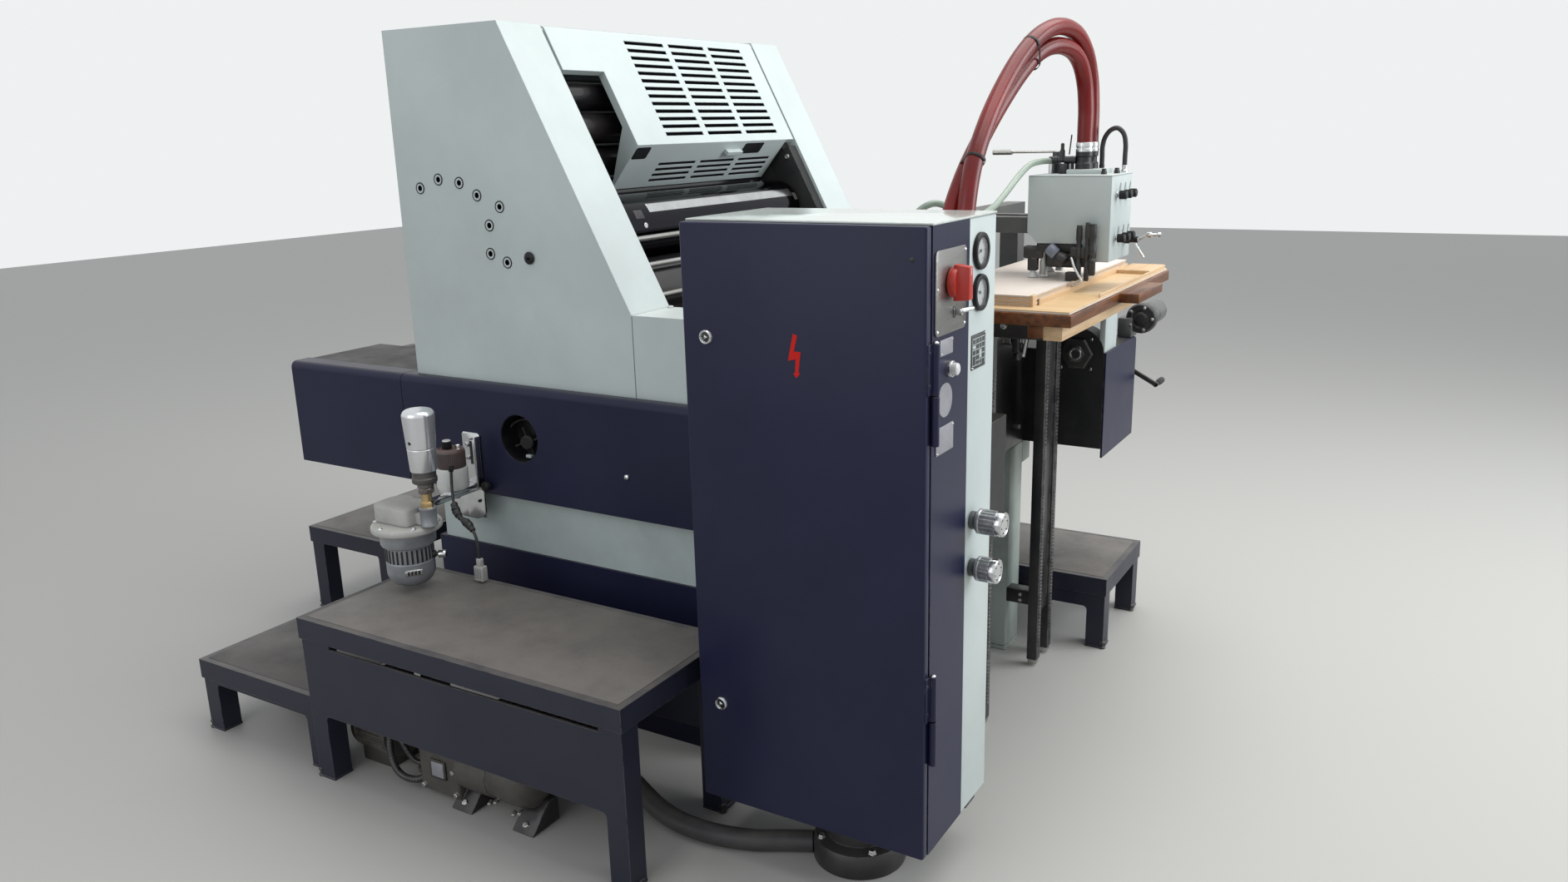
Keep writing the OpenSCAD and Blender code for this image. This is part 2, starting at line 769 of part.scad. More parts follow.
// Hardwood board with a shelf at its feeder end and battens under it
module pile_board() {
    bx0 = board_x1 - board_l;
    bot = board_top - board_t;
    color("#8a5a34") {
        block([bx0, -board_w / 2, bot], [board_x1, board_w / 2, board_top]);
        block([board_x1, -60, board_top - 22], [board_x1 + 45, 150, board_top]);
        block([board_x1 - 60, -board_w / 2 + 10, bot - 30], [board_x1 - 20, board_w / 2 - 10, bot]);
    }
}

// Thin board with a stack of layered sheets and a low plank at its far corner
module sheet_pile() {
    bx0 = board_x1 - board_l;
    x1 = board_x1 - 5;
    y1 = board_w / 2 - 5;
    color("#d9b98c") {
        block([bx0 + 5, -y1, board_top], [x1, y1, board_top + 5]);
        block([bx0 + 10, -y1 + 40, board_top + 4], [board_x1 - 90, y1 - 55, board_top + stack_h]);
        block([board_x1 - 88, y1 - 150, board_top + 4], [x1 - 4, y1 - 4, board_top + 14]);
    }
}

// Two columns and a cross beam that carry the feeder head
module head_support() {
    color("#3a3d42") {
        for (s = [-1, 1]) side(s)
            block([column_x, frame_in, base_top],
                [column_x + column_w, frame_in + column_w, beam_z - beam_h]);
        block([column_x, -frame_in - column_w, beam_z - beam_h],
            [column_x + column_w, frame_in + column_w, beam_z]);
        for (y = [-60, 25]) block([column_x + column_w, y, beam_z - 42], [head_x0, y + 35, beam_z - 6]);
    }
}

module feeder_head() {
    x1 = head_x0 + head_l;
    color("#c3ccc6") slab(head_y0, head_y0 + head_w) polygon([[head_x0, head_top], [head_x0, head_bot + 24],
        [head_x0 + 24, head_bot], [x1 - 60, head_bot], [x1 - 60, head_low], [x1, head_low], [x1, head_top]]);
}

// Castings, suction feet and adjusting screws under the feeder head
module suction_unit() {
    color("#26272a") {
        block([head_x0 + 20, head_y0 + 8, head_bot - 22], [head_x0 + 128, head_y0 + head_w - 8, head_bot]);
        for (y = [head_y0 + 20, head_y0 + head_w - 40]) {
            block([head_x0 - 4, y, head_bot - 40], [head_x0 + 44, y + 20, head_bot - 22]);
            translate([head_x0 + 14, y + 10, board_top + 34]) cylinder(r = 7, h = head_bot - 74 - board_top);
            translate([head_x0 + 14, y + 10, board_top + 32]) cylinder(r1 = 14, r2 = 8, h = 14);
        }
        for (x = [head_x0 + 113, head_x0 + 133])
            translate([x, head_y0 - 14, head_bot - 76]) cylinder(r = 8, h = 126);
        block([head_x0 + 103, head_y0 - 14, head_bot - 30], [head_x0 + 143, head_y0, head_bot - 6]);
        block([head_x0 + 103, head_y0 - 1, head_bot - 22], [head_x0 + 125, head_y0 + 8, head_bot - 6]);
    }
}

// Knobs and levers on the feeder-side face of the head
module head_controls() {
    x1 = head_x0 + head_l;
    y = head_y0 + head_w / 2;
    color("#1a1a1c") for (z = [1278, 1185], dy = [-28, 8, 40]) {
        rod_x(x1, x1 + 12, y + dy, z, 6);
        rod_x(x1 + 12, x1 + 34, y + dy, z, 13);
    }
}

// Lay-shaft housing, hand wheel and bearing cap on the far side frame
module hoist_gear() {
    y0 = base_face;
    color("#55585a") {
        translate([gear_p[0], 0, gear_p[1]]) rotate([-90, 0, 0]) {
            translate([0, 0, y0 - 50]) cylinder(r = 42, h = 36);
            translate([0, 0, y0 - 15]) cylinder(r = 32, h = 145);
        }
        block([base_x1 - 42, y0 - 50, base_top], [base_x1 - 2, y0 + 10, gear_p[1]]);
        difference() {
            rod_y(crank_p, 22, y0, y0 + 40);
            rod_y(crank_p, spindle_r + run_gap, y0 + 10, y0 + 41);
        }
    }
}

// Crank with a round grip
module crank_handle() {
    y0 = base_face + 42;
    color("#3a3c40") {
        rod_y(crank_p, spindle_r, base_face + 12, y0);
        rod_y(crank_p, 16, y0, y0 + 14);
        translate([crank_p[0], y0, crank_p[1]]) rotate([0, 28, 0]) {
            block([0, 2, -7], [crank_l, 12, 7]);
            translate([crank_l, 2, 0]) rotate([-90, 0, 0]) cylinder(r = 11, h = 90);
        }
    }
}

// Apron between two legs of a step, with rounded lower corners
module apron(x0, x1, y, z0, z1) {
    difference() {
        block([x0 - 1, y, z0 - apron_r], [x1 + 1, y + apron_t, z1]);
        block([x0 + apron_r, y - 1, z0 - apron_r - 1], [x1 - apron_r, y + apron_t + 1, z0]);
        for (x = [x0 + apron_r, x1 - apron_r]) rod_y([x, z0 - apron_r], apron_r, y - 1, y + apron_t + 1);
    }
}

// Step on four legs, with a plate in a raised rim on top and a long apron at both sides
module step_table(a, l, d, h, skirt) {
    b = rim_in;
    translate([a[0], a[1], 0]) {
        difference() {
            block([0, 0, h - rim_h], [l, d, h]);
            block([apron_t, apron_t, h - rim_h - 1], [l - apron_t, d - apron_t, h - tread_t]);
        }
        for (x = [b, l - b - leg_w], y = [b, d - b - leg_w])
            block([x, y, 0], [x + leg_w, y + leg_w, h - tread_t + 1]);
        for (y = [b, d - b - apron_t]) apron(b + leg_w, l - b - leg_w, y, skirt, h - rim_h + 1);
    }
}

// High step at the cabinet side, with a slot along its front apron
module step_high() {
    color("#33364a") difference() {
        step_table([step_x0, step_y0], step_l, step_d, step_h, skirt_z);
        block([step_x0 + 95, step_y0 - 1, step_h - rim_h - 12],
            [step_x0 + step_l - leg_w - 10, step_y0 + rim_in + apron_t + 1, step_h - rim_h]);
    }
}

module step_low() {
    color("#33364a")
        step_table([step_x0 + rim_in - low_l - step_gap, step_y0 + low_back],
            low_l, low_d, low_h, low_h - 60);
}

module step_far() {
    color("#33364a") step_table(far_p, far_l, far_d, far_h, far_h - 90);
}

module step_delivery() {
    color("#33364a") step_table(del_p, del_l, del_d, del_h, del_h - 50);
}

// Chrome bracket on the base cover, with the arm that carries the powder pump
module sprayer_bracket() {
    y1 = -base_face;
    color("silver") {
        block([-226, y1 - 5, 500], [-166, y1, 722]);
        block([-290, y1 - 5, 494], [-166, y1, 575]);
        block([jar_p[0] - 15, motor_p[1] + arm_y + fit_gap, jar_z - 22], [jar_p[0] + 15, y1 - 4, jar_z - 8]);
        block([jar_p[0] - 25, jar_p[1] - 25, jar_z - 9], [jar_p[0] + 25, y1 - 4, jar_z]);
    }
}

module powder_jar() {
    color("white") translate([jar_p[0], jar_p[1], jar_z]) {
        cylinder(r = jar_r, h = 57);
        translate([0, 0, 57]) cylinder(r = jar_r - 3, h = 48);
        translate([0, 0, 105]) cylinder(r = 8, h = 24);
        rotate([0, 0, -45]) block([jar_r - 10, -6, 57], [53, 6, 69]);
    }
}

// Motor with its flange, casting and silver cylinder
module powder_pump() {
    color("silver") {
        translate([motor_p[0], motor_p[1], motor_z]) {
            rotate_extrude() polygon(concat([[0, 0]], arc([motor_r - 36, 36], 36, -90, 0),
                [[motor_r, 101], [motor_r + 8, 102], [motor_r + 8, 133], [motor_r + 26, 136],
                [motor_r + 26, 152], [motor_r + 18, 157], [0, 157]]));
        }
        translate([motor_p[0], motor_p[1], pump_z]) {
            for (y = [-14, 20]) translate([-38, y, 0]) cylinder(r = 40, h = 40);
            block([-78, -14, 0], [4, 20, 40]);
            block([-38, -44, 0], [50, 24, 38]);
            block([-60, 20, 0], [10, arm_y, 34]);
        }
        translate([pot_p[0], pot_p[1], 0]) {
            block([-60, -16, pump_z], [0, 16, pump_z + 30]);
            translate([0, 0, pump_z]) cylinder(r = 20, h = 45);
            translate([0, 0, 612]) cylinder(r = 15, h = 14);
            translate([0, 0, 625]) cylinder(r = 12, h = 23);
            translate([0, 0, 647]) cylinder(r = 19, h = 26);
            translate([0, 0, 672]) cylinder(r = pot_r - 8, h = 29);
            translate([0, 0, 700]) rotate_extrude() polygon(concat([[0, 0], [pot_r - 7, 0]],
                arc([pot_r - 14, 131], 14, 0, 90), [[0, 145]]));
        }
    }
}

// Air pump under the high step with its valve box, pressure vessel, motor and feet
module air_pump() {
    y = -base_face - 230;
    yf = -base_face - 400;
    ym = -base_face - 360;
    color("#77796f") {
        block([-60, y - 40, 0], [330, y + 40, 30]);
        rod_x(40, 400, y, 80, 66);
        block([10, yf - 45, 18], [130, y - 30, 150]);
        rod_x(129, 350, yf, 100, 62);
        block([129, yf + 20, 50], [300, y - 30, 100]);
        for (x = [110, 290]) block([x, yf - 55, 0], [x + 60, yf + 30, 60]);
        rod_x(-250, -120, ym, 95, 70);
        rod_x(-121, 11, ym, 95, 22);
        block([-240, ym - 40, 0], [-140, ym + 40, 50]);
    }
}

// Sockets that the hoses leave, on the near side frame and on the feeder head
module hose_sockets() {
    color("#1e1f22") {
        for (p = [suction_1_route[0], suction_2_route[0], air_route[0]])
            translate([p[0], p[1], base_top])
                cylinder(r = p == air_route[0] ? 14 : collar_r, h = p[2] - base_top);
        for (y = hose_y) translate([hose_x, y, head_top]) cylinder(r = collar_r, h = collar_top - head_top);
        translate([1066, 0, head_top]) cylinder(r = 5, h = 23);
        for (p = [head_hose_route[0], head_hose_route[len(head_hose_route) - 1]])
            translate([p[0], p[1], head_top]) cylinder(r = head_hose_d / 2 + 2, h = p[2] - head_top);
    }
}

module suction_hose_1() {
    color("#7a2020") tube(suction_1_route, hose_d, [1, 0, 0]);
}

module suction_hose_2() {
    color("#7a2020") tube(suction_2_route, hose_d, [1, 0, 0]);
}

module air_hose() {
    color("#bcd8c4") tube(air_route, air_d, [1, -0.4, 0], 8);
}

module head_hose() {
    color("#18181a") tube(head_hose_route, head_hose_d, [0, 1, 0], 8);
}

module sprayer_lead() {
    color("#18181a") tube(lead_route, lead_d, [1, 1, 0], 8);
}

// White connector at the end of the lead
module lead_plug() {
    end = lead_route[len(lead_route) - 1];
    color("white") translate(end) {
        block([-6, -5, -20], [6, 5, 0]);
        block([-11, -8, -56], [11, 8, -19]);
    }
}

module floor_hose() {
    color("#202024") tube(floor_route, floor_hose_d, [0, 0, 1]);
}

plinth();
side_frame_near();
side_frame_far();
base_cover_near();
base_cover_far();
delivery_covers();
delivery_table();
lower_panels();
upper_cover_near();
upper_cover_far();
extension_covers();
top_cover();
rear_cover();
front_guard();
plate_cylinder();
blanket_cylinder();
ink_roller_1();
ink_roller_2();
ink_roller_3();
ink_roller_4();
cross_rods();
cabinet_shell();
cabinet_rear();
cabinet_door();
control_plates();
main_switch();
push_button();
gauges();
regulator_upper();
regulator_lower();
cabinet_stand();
feed_board();
feeder_frame();
guide_posts();
pile_board();
sheet_pile();
head_support();
feeder_head();
suction_unit();
head_controls();
hoist_gear();
crank_handle();
step_high();
step_low();
step_far();
step_delivery();
sprayer_bracket();
powder_jar();
powder_pump();
air_pump();
hose_sockets();
suction_hose_1();
suction_hose_2();
air_hose();
head_hose();
floor_hose();
sprayer_lead();
lead_plug();
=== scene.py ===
import bmesh
import bpy
import math
from mathutils import Matrix, Vector


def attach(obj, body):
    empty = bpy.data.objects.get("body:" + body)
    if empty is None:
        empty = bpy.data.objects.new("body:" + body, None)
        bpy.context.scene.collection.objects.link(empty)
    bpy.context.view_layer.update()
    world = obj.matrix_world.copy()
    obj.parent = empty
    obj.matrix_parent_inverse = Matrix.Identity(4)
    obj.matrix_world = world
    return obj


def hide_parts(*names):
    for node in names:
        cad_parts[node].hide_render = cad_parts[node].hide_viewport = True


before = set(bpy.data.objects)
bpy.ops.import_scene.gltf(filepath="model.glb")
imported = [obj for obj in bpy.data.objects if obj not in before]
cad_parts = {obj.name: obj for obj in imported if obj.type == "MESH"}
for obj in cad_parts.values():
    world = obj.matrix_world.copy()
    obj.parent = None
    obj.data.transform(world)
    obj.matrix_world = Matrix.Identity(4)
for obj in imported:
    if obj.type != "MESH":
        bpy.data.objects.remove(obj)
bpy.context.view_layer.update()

# The view: the camera stands at the feeder end on the cabinet side, a little above the cabinet,
# and looks down along the press. Its place and turn were fitted to the press's own straight edges.
yaw = math.radians(31.136)
pitch = math.radians(-14.911)
roll = math.radians(-1.461)
ahead = Vector((-math.sin(yaw) * math.cos(pitch), math.cos(yaw) * math.cos(pitch), math.sin(pitch)))
level = Vector((math.cos(yaw), math.sin(yaw), 0))
upright = level.cross(ahead)
right = math.cos(roll) * level + math.sin(roll) * upright
up = -math.sin(roll) * level + math.cos(roll) * upright
camera = bpy.data.objects.new("camera", bpy.data.cameras.new("camera"))
camera.data.sensor_fit = "HORIZONTAL"
camera.data.sensor_width = 36
camera.data.lens = 36 * 1404.4 / 1884
camera.data.clip_end = 60
camera.matrix_world = Matrix(((right.x, up.x, -ahead.x, 1.948), (right.y, up.y, -ahead.y, -2.672),
    (right.z, up.z, -ahead.z, 1.436), (0, 0, 0, 1)))
bpy.context.scene.collection.objects.link(camera)
bpy.context.scene.camera = camera
bpy.context.scene.view_settings.view_transform = "Standard"

# The workshop floor is smooth pale concrete, and the room is plain and pale.
# A broad lamp overhead and a low one from the feeder side stand for the shop's windows and tubes.
floor_mesh = bpy.data.meshes.new("floor")
bm = bmesh.new()
bmesh.ops.create_grid(bm, x_segments=1, y_segments=1, size=14)
bm.to_mesh(floor_mesh)
bm.free()
floor = bpy.data.objects.new("floor", floor_mesh)
bpy.context.scene.collection.objects.link(floor)
concrete = bpy.data.materials.new("pale_concrete")
concrete.use_nodes = True
shader = concrete.node_tree.nodes["Principled BSDF"]
shader.inputs["Base Color"].default_value = (0.49, 0.485, 0.455, 1)
shader.inputs["Roughness"].default_value = 0.55
floor_mesh.materials.append(concrete)



def fill(node, sockets):
    """Each named socket of a shader node gets its value, or a link from another node's output."""
    for name, value in sockets.items():
        if isinstance(value, bpy.types.NodeSocket):
            node.id_data.links.new(value, node.inputs[name])
        else:
            node.inputs[name].default_value = value


def add(nodes, kind, out, sockets, **settings):
    """New shader node with its settings and sockets filled. The answer is its named output."""
    node = nodes.new("ShaderNode" + kind)
    for name, value in settings.items():
        setattr(node, name, value)
    fill(node, sockets)
    return node.outputs[out]


world = bpy.data.worlds.new("pale_room")
bpy.context.scene.world = world
world.use_nodes = True
nodes = world.node_tree.nodes
fill(nodes["Background"], {"Color": (0.9, 0.94, 1.0, 1), "Strength": 0.55})
ray = nodes.new("ShaderNodeLightPath").outputs
seen = add(nodes, "Background", 0, {"Color": (0.86, 0.88, 0.88, 1), "Strength": 1.0})
either = add(nodes, "Math", 0, {0: ray["Is Camera Ray"], 1: ray["Is Glossy Ray"]}, operation="MAXIMUM")
pale = add(nodes, "Math", 0, {0: either, 1: ray["Is Transmission Ray"]}, operation="MAXIMUM")
pick = add(nodes, "MixShader", 0, {0: pale, 1: nodes["Background"].outputs[0], 2: seen})
fill(nodes["World Output"], {"Surface": pick})


def lamp(name, place, aim, size, watts, colour):
    """Square area lamp that looks at a point."""
    light = bpy.data.lights.new(name, "AREA")
    light.size = size
    light.energy = watts
    light.color = colour
    found = bpy.data.objects.new(name, light)
    found.location = place
    found.rotation_euler = (Vector(aim) - Vector(place)).to_track_quat("-Z", "Y").to_euler()
    bpy.context.scene.collection.objects.link(found)


lamp("ceiling_lamp", (1.4, 0.4, 4.2), (0.1, -0.1, 0.6), 3.6, 125, (1, 0.98, 0.95))
lamp("window_lamp", (4.6, 1.6, 2.4), (0.4, -0.2, 0.9), 2.6, 115, (0.93, 0.97, 1))
lamp("front_lamp", (-0.4, -4.6, 2.4), (0.1, -0.4, 0.8), 3.0, 32, (1, 1, 1))


# Hoses and cords. The two thick ones are dark red rubber suction hoses that rise from the frame and
# arch over to the feeder head; the others are a pale green air hose, a short black one on the head,
# a thick black one on the floor and the black lead of the powder sprayer.
def finish(name, colour, tint, rough, metal=0.0, scale=5.0, grain=250.0, bump=0.15, wear=None, dust=None,
        coat=0.0, stretch=(1, 1, 1), edge=0.0025, worn=0.35, shine=0.5):
    """Finish with clouds of a second tint, uneven gloss, a fine grain, rubbed edges and dusty tops."""
    found = bpy.data.materials.new(name)
    found.use_nodes = True
    nodes = found.node_tree.nodes
    shader = nodes["Principled BSDF"]
    place = add(nodes, "TexCoord", "Object", {})
    laid = add(nodes, "Mapping", "Vector", {"Scale": stretch, "Vector": place})
    cloud = add(nodes, "TexNoise", "Fac", {"Scale": scale, "Detail": 8, "Roughness": 0.62, "Vector": laid})
    fine = add(nodes, "TexNoise", "Fac", {"Scale": grain, "Detail": 3, "Vector": laid})
    spread = add(nodes, "MapRange", "Result", {"From Min": 0.38, "From Max": 0.68, "Value": cloud})
    tone = add(nodes, "Mix", "Result", {"A": (*colour, 1), "B": (*tint, 1), "Factor": spread},
        data_type="RGBA")
    gloss = add(nodes, "MapRange", "Result", {"From Min": 0.3, "From Max": 0.7, "To Min": rough[0],
        "To Max": rough[1], "Value": cloud})
    round_edge = add(nodes, "Bevel", "Normal", {"Radius": edge}, samples=4)
    face = add(nodes, "NewGeometry", "Normal", {})
    if wear:
        bent = add(nodes, "VectorMath", "Value", {0: round_edge, 1: face}, operation="DOT_PRODUCT")
        rim = add(nodes, "MapRange", "Result", {"From Min": 0.995, "From Max": 0.9, "Value": bent})
        chip = add(nodes, "TexNoise", "Fac", {"Scale": 45, "Detail": 6, "Vector": place})
        patch = add(nodes, "MapRange", "Result", {"From Min": 0.62 - worn / 2, "From Max": 0.72 - worn / 2,
            "Value": chip})
        rubbed = add(nodes, "Math", 0, {0: rim, 1: patch}, operation="MULTIPLY")
        tone = add(nodes, "Mix", "Result", {"A": tone, "B": (*wear, 1), "Factor": rubbed}, data_type="RGBA")
    if dust:
        facing = add(nodes, "SeparateXYZ", "Z", {"Vector": face})
        flat = add(nodes, "MapRange", "Result", {"From Min": 0.75, "From Max": 0.98, "To Max": dust[3],
            "Value": facing})
        drift = add(nodes, "TexNoise", "Fac", {"Scale": 9, "Detail": 9, "Roughness": 0.7, "Vector": place})
        bank = add(nodes, "MapRange", "Result", {"From Min": 0.3, "From Max": 0.6, "To Min": 0.35,
            "Value": drift})
        lies = add(nodes, "Math", 0, {0: flat, 1: bank}, operation="MULTIPLY")
        tone = add(nodes, "Mix", "Result", {"A": tone, "B": (*dust[:3], 1), "Factor": lies},
            data_type="RGBA")
    relief = add(nodes, "Bump", "Normal", {"Strength": bump, "Distance": 0.001, "Height": fine,
        "Normal": round_edge})
    fill(shader, {"Base Color": tone, "Metallic": metal, "Specular IOR Level": shine, "Coat Weight": coat,
        "Coat Roughness": 0.12, "Roughness": gloss, "Normal": relief})
    return found


def eased(points):
    """Points of one smooth curve through the points of a route."""
    spots = [Vector(p) for p in points]
    found = []
    for i in range(len(spots) - 1):
        a = spots[max(i - 1, 0)]
        b = spots[i]
        c = spots[i + 1]
        d = spots[min(i + 2, len(spots) - 1)]
        for k in range(6):
            t = k / 6
            found.append(0.5 * (2 * b + (c - a) * t + (2 * a - 5 * b + 4 * c - d) * t ** 2
                + (3 * b - a - 3 * c + d) * t ** 3))
    return found + [spots[-1]]


def hose(name, node, points, diameter, material):
    """Round hose along a route, in place of its CAD node."""
    line = eased(points)
    data = bpy.data.curves.new(name, "CURVE")
    data.dimensions = "3D"
    data.bevel_depth = diameter / 2
    data.bevel_resolution = 5
    data.use_fill_caps = True
    spline = data.splines.new("POLY")
    spline.points.add(len(line) - 1)
    for spot, p in zip(spline.points, line):
        spot.co = (*p, 1)
    spline.use_smooth = True
    data.materials.append(material)
    found = bpy.data.objects.new(name, data)
    bpy.context.scene.collection.objects.link(found)
    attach(found, "press")
    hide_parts(node)
    return found


red_rubber = finish("red_rubber", (0.21, 0.01, 0.009), (0.1, 0.007, 0.008), (0.22, 0.32), scale=4, grain=90,
    bump=0.01, coat=0.05, edge=0, shine=0.35)
black_rubber = finish("black_rubber", (0.02, 0.02, 0.022), (0.035, 0.034, 0.033), (0.35, 0.6), scale=14,
    grain=160, bump=0.3)
floor_rubber = finish("floor_rubber", (0.035, 0.035, 0.04), (0.075, 0.072, 0.068), (0.45, 0.7), scale=9,
    grain=160, bump=0.3, dust=(0.16, 0.15, 0.13, 0.5))
green_vinyl = finish("green_vinyl", (0.36, 0.44, 0.36), (0.27, 0.34, 0.28), (0.18, 0.35), scale=8,
    bump=0.02, coat=0.3, edge=0)
hose("red_suction_hose_1", "suction_hose_1", [(1.08, -0.55, 0.868), (1.08, -0.55, 0.96),
    (1.08, -0.55, 1.06), (1.079, -0.548, 1.16), (1.077, -0.535, 1.26), (1.076, -0.5, 1.355),
    (1.078, -0.44, 1.435), (1.083, -0.368, 1.505), (1.092, -0.29, 1.568), (1.104, -0.213, 1.612),
    (1.118, -0.138, 1.632), (1.13, -0.063, 1.624), (1.137, -0.005, 1.588), (1.14, 0.032, 1.53),
    (1.141, 0.045, 1.47), (1.141, 0.047, 1.424), (1.141, 0.047, 1.392)], 0.036, red_rubber)
hose("red_suction_hose_2", "suction_hose_2", [(1.04, -0.55, 0.868), (1.04, -0.55, 0.96),
    (1.04, -0.55, 1.06), (1.038, -0.545, 1.16), (1.038, -0.522, 1.255), (1.048, -0.478, 1.338),
    (1.06, -0.415, 1.411), (1.072, -0.345, 1.477), (1.085, -0.269, 1.537), (1.098, -0.199, 1.578),
    (1.113, -0.135, 1.594), (1.127, -0.075, 1.587), (1.135, -0.031, 1.56), (1.139, -0.005, 1.516),
    (1.141, 0.004, 1.466), (1.141, 0.005, 1.424), (1.141, 0.005, 1.392)], 0.036, red_rubber)
hose("green_air_hose", "air_hose", [(0.93, -0.48, 0.868), (0.93, -0.48, 0.92), (0.93, -0.48, 0.98),
    (0.93, -0.48, 1.04), (0.93, -0.48, 1.1), (0.93, -0.48, 1.16), (0.93, -0.478, 1.215),
    (0.942, -0.47, 1.262), (0.975, -0.452, 1.285), (1.008, -0.42, 1.27), (1.025, -0.375, 1.255),
    (1.03, -0.32, 1.255), (1.032, -0.26, 1.268), (1.034, -0.2, 1.292), (1.038, -0.14, 1.322),
    (1.044, -0.085, 1.345), (1.054, -0.04, 1.352), (1.066, 0.0, 1.352)], 0.014, green_vinyl)
hose("black_head_hose", "head_hose", [(1.166, 0.06, 1.34), (1.166, 0.06, 1.36), (1.166, 0.06, 1.382),
    (1.171, 0.06, 1.402), (1.183, 0.06, 1.417), (1.199, 0.06, 1.421), (1.213, 0.06, 1.408),
    (1.218, 0.06, 1.386), (1.218, 0.06, 1.362), (1.218, 0.06, 1.34)], 0.011, black_rubber)
hose("black_floor_hose", "floor_hose", [(0.4, -0.88, 0.06), (0.424, -0.88, 0.06), (0.458, -0.882, 0.05),
    (0.5, -0.892, 0.034), (0.552, -0.908, 0.024), (0.62, -0.925, 0.024), (0.7, -0.925, 0.024),
    (0.78, -0.905, 0.024), (0.83, -0.879, 0.024), (0.86, -0.864, 0.024), (0.892, -0.848, 0.024)], 0.044,
    floor_rubber)


# The press stands on a massive cast base, painted the same dark satin blue as the covers above it.
# Pale sheet panels close the gap between the base and the covers on both sides.
def dress(material, *names):
    """The finish goes on CAD nodes whose shape is right."""
    for name in names:
        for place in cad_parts[name].material_slots:
            place.material = material


blue_paint = finish("blue_paint", (0.0135, 0.015, 0.042), (0.019, 0.0205, 0.053), (0.3, 0.42), scale=2.5,
    grain=420, bump=0.1, wear=(0.075, 0.075, 0.09), worn=0.2, shine=0.22, dust=(0.1, 0.095, 0.092, 0.35))
pale_paint = finish("pale_paint", (0.555, 0.622, 0.612), (0.47, 0.528, 0.515), (0.34, 0.5), scale=1.8,
    grain=380, bump=0.1, wear=(0.3, 0.31, 0.29), worn=0.1, dust=(0.6, 0.62, 0.58, 0.4))
panel_paint = finish("panel_paint", (0.56, 0.64, 0.63), (0.44, 0.5, 0.49), (0.36, 0.52), scale=3.5,
    grain=380, bump=0.1, wear=(0.18, 0.18, 0.17), worn=0.3)
dress(blue_paint, "plinth", "base_cover_near", "base_cover_far", "delivery_covers")
dress(panel_paint, "lower_panels")


# The side frames, the delivery table and the feed board are oily grey and black castings and plates.
# They are seen between the covers, through the gap behind the guard and at the delivery.
cast_iron = finish("cast_iron", (0.05, 0.055, 0.058), (0.09, 0.092, 0.085), (0.35, 0.6), metal=0.2, scale=7,
    grain=120, bump=0.45, wear=(0.22, 0.22, 0.21), dust=(0.11, 0.1, 0.085, 0.6))
black_steel = finish("black_steel", (0.018, 0.018, 0.021), (0.04, 0.038, 0.035), (0.28, 0.5), metal=0.1,
    scale=8, grain=160, bump=0.3, wear=(0.2, 0.19, 0.18), dust=(0.09, 0.085, 0.075, 0.5))
# Side frames: cast iron made much darker, their own black with the shade inside the press painted in.
frame_cast_and_shade = finish("frame_cast_and_shade", (0.02, 0.021, 0.022), (0.036, 0.036, 0.034), (0.35, 0.6), scale=7,
    grain=120, bump=0.45, wear=(0.13, 0.13, 0.12), dust=(0.065, 0.06, 0.052, 0.5), shine=0.2)
dress(frame_cast_and_shade, "side_frame_near", "side_frame_far")
dress(cast_iron, "delivery_table", "head_support")
dress(black_steel, "feed_board")


# Thick pale covers stand on the blue base at both sides, with low ones behind them and thin sheet
# covers at the top and the delivery side. They are steel, painted pale grey-green.
dress(pale_paint, "upper_cover_near", "upper_cover_far", "extension_covers", "top_cover", "rear_cover",
    "front_guard")


def soften(part, lines, width, segments=2):
    """Edges of a form are rounded."""
    bmesh.ops.bevel(part, geom=lines, offset=width, offset_type="OFFSET", segments=segments, profile=0.5,
        affect="EDGES", material=-1)


def join(bm, part, mat=0, smooth=True):
    """One finished form goes into the mesh of a piece."""
    bmesh.ops.remove_doubles(part, verts=part.verts, dist=0.000001)
    bmesh.ops.recalc_face_normals(part, faces=part.faces)
    for face in part.faces:
        face.material_index = mat
        face.smooth = smooth
    held = bpy.data.meshes.new("held")
    part.to_mesh(held)
    part.free()
    bm.from_mesh(held)
    bpy.data.meshes.remove(held)


to_top, to_floor = (0, 0, 1), (0, 0, -1)
to_near, to_far = (0, -1, 0), (0, 1, 0)
to_feeder, to_delivery = (1, 0, 0), (-1, 0, 0)


def turned(bm, profile, at, axis=to_top, mat=0, steps=32):
    """Round form from radius and height pairs, spun about an axis through a point."""
    part = bmesh.new()
    line = [part.verts.new((r, 0, h)) for r, h in profile]
    edges = [part.edges.new(pair) for pair in zip(line, line[1:])]
    bmesh.ops.spin(part, geom=line + edges, cent=(0, 0, 0), axis=(0, 0, 1), dvec=(0, 0, 0),
        angle=2 * math.pi, steps=steps, use_merge=True)
    lean = Vector((0, 0, 1)).rotation_difference(Vector(axis)).to_matrix()
    bmesh.ops.rotate(part, cent=(0, 0, 0), matrix=lean, verts=part.verts)
    bmesh.ops.translate(part, vec=at, verts=part.verts)
    join(bm, part, mat)


def bolt(r, side, top_r, top):
    """Profile of a bolt head with a chamfered top, or of a plain round head."""
    return [(r, 0), (r, side), (top_r, top), (0, top)]


def socket(r, low, side, top_r, top, hole_r, base_r, base):
    """Profile of a socket screw's head, down to the floor of its socket."""
    return [(r, low), (r, side), (top_r, top), (hole_r, top), (base_r, base), (0, base)]


def rod(r, low, high):
    """Profile of a plain rod between two heights."""
    return [(0, low), (r, low), (r, high), (0, high)]


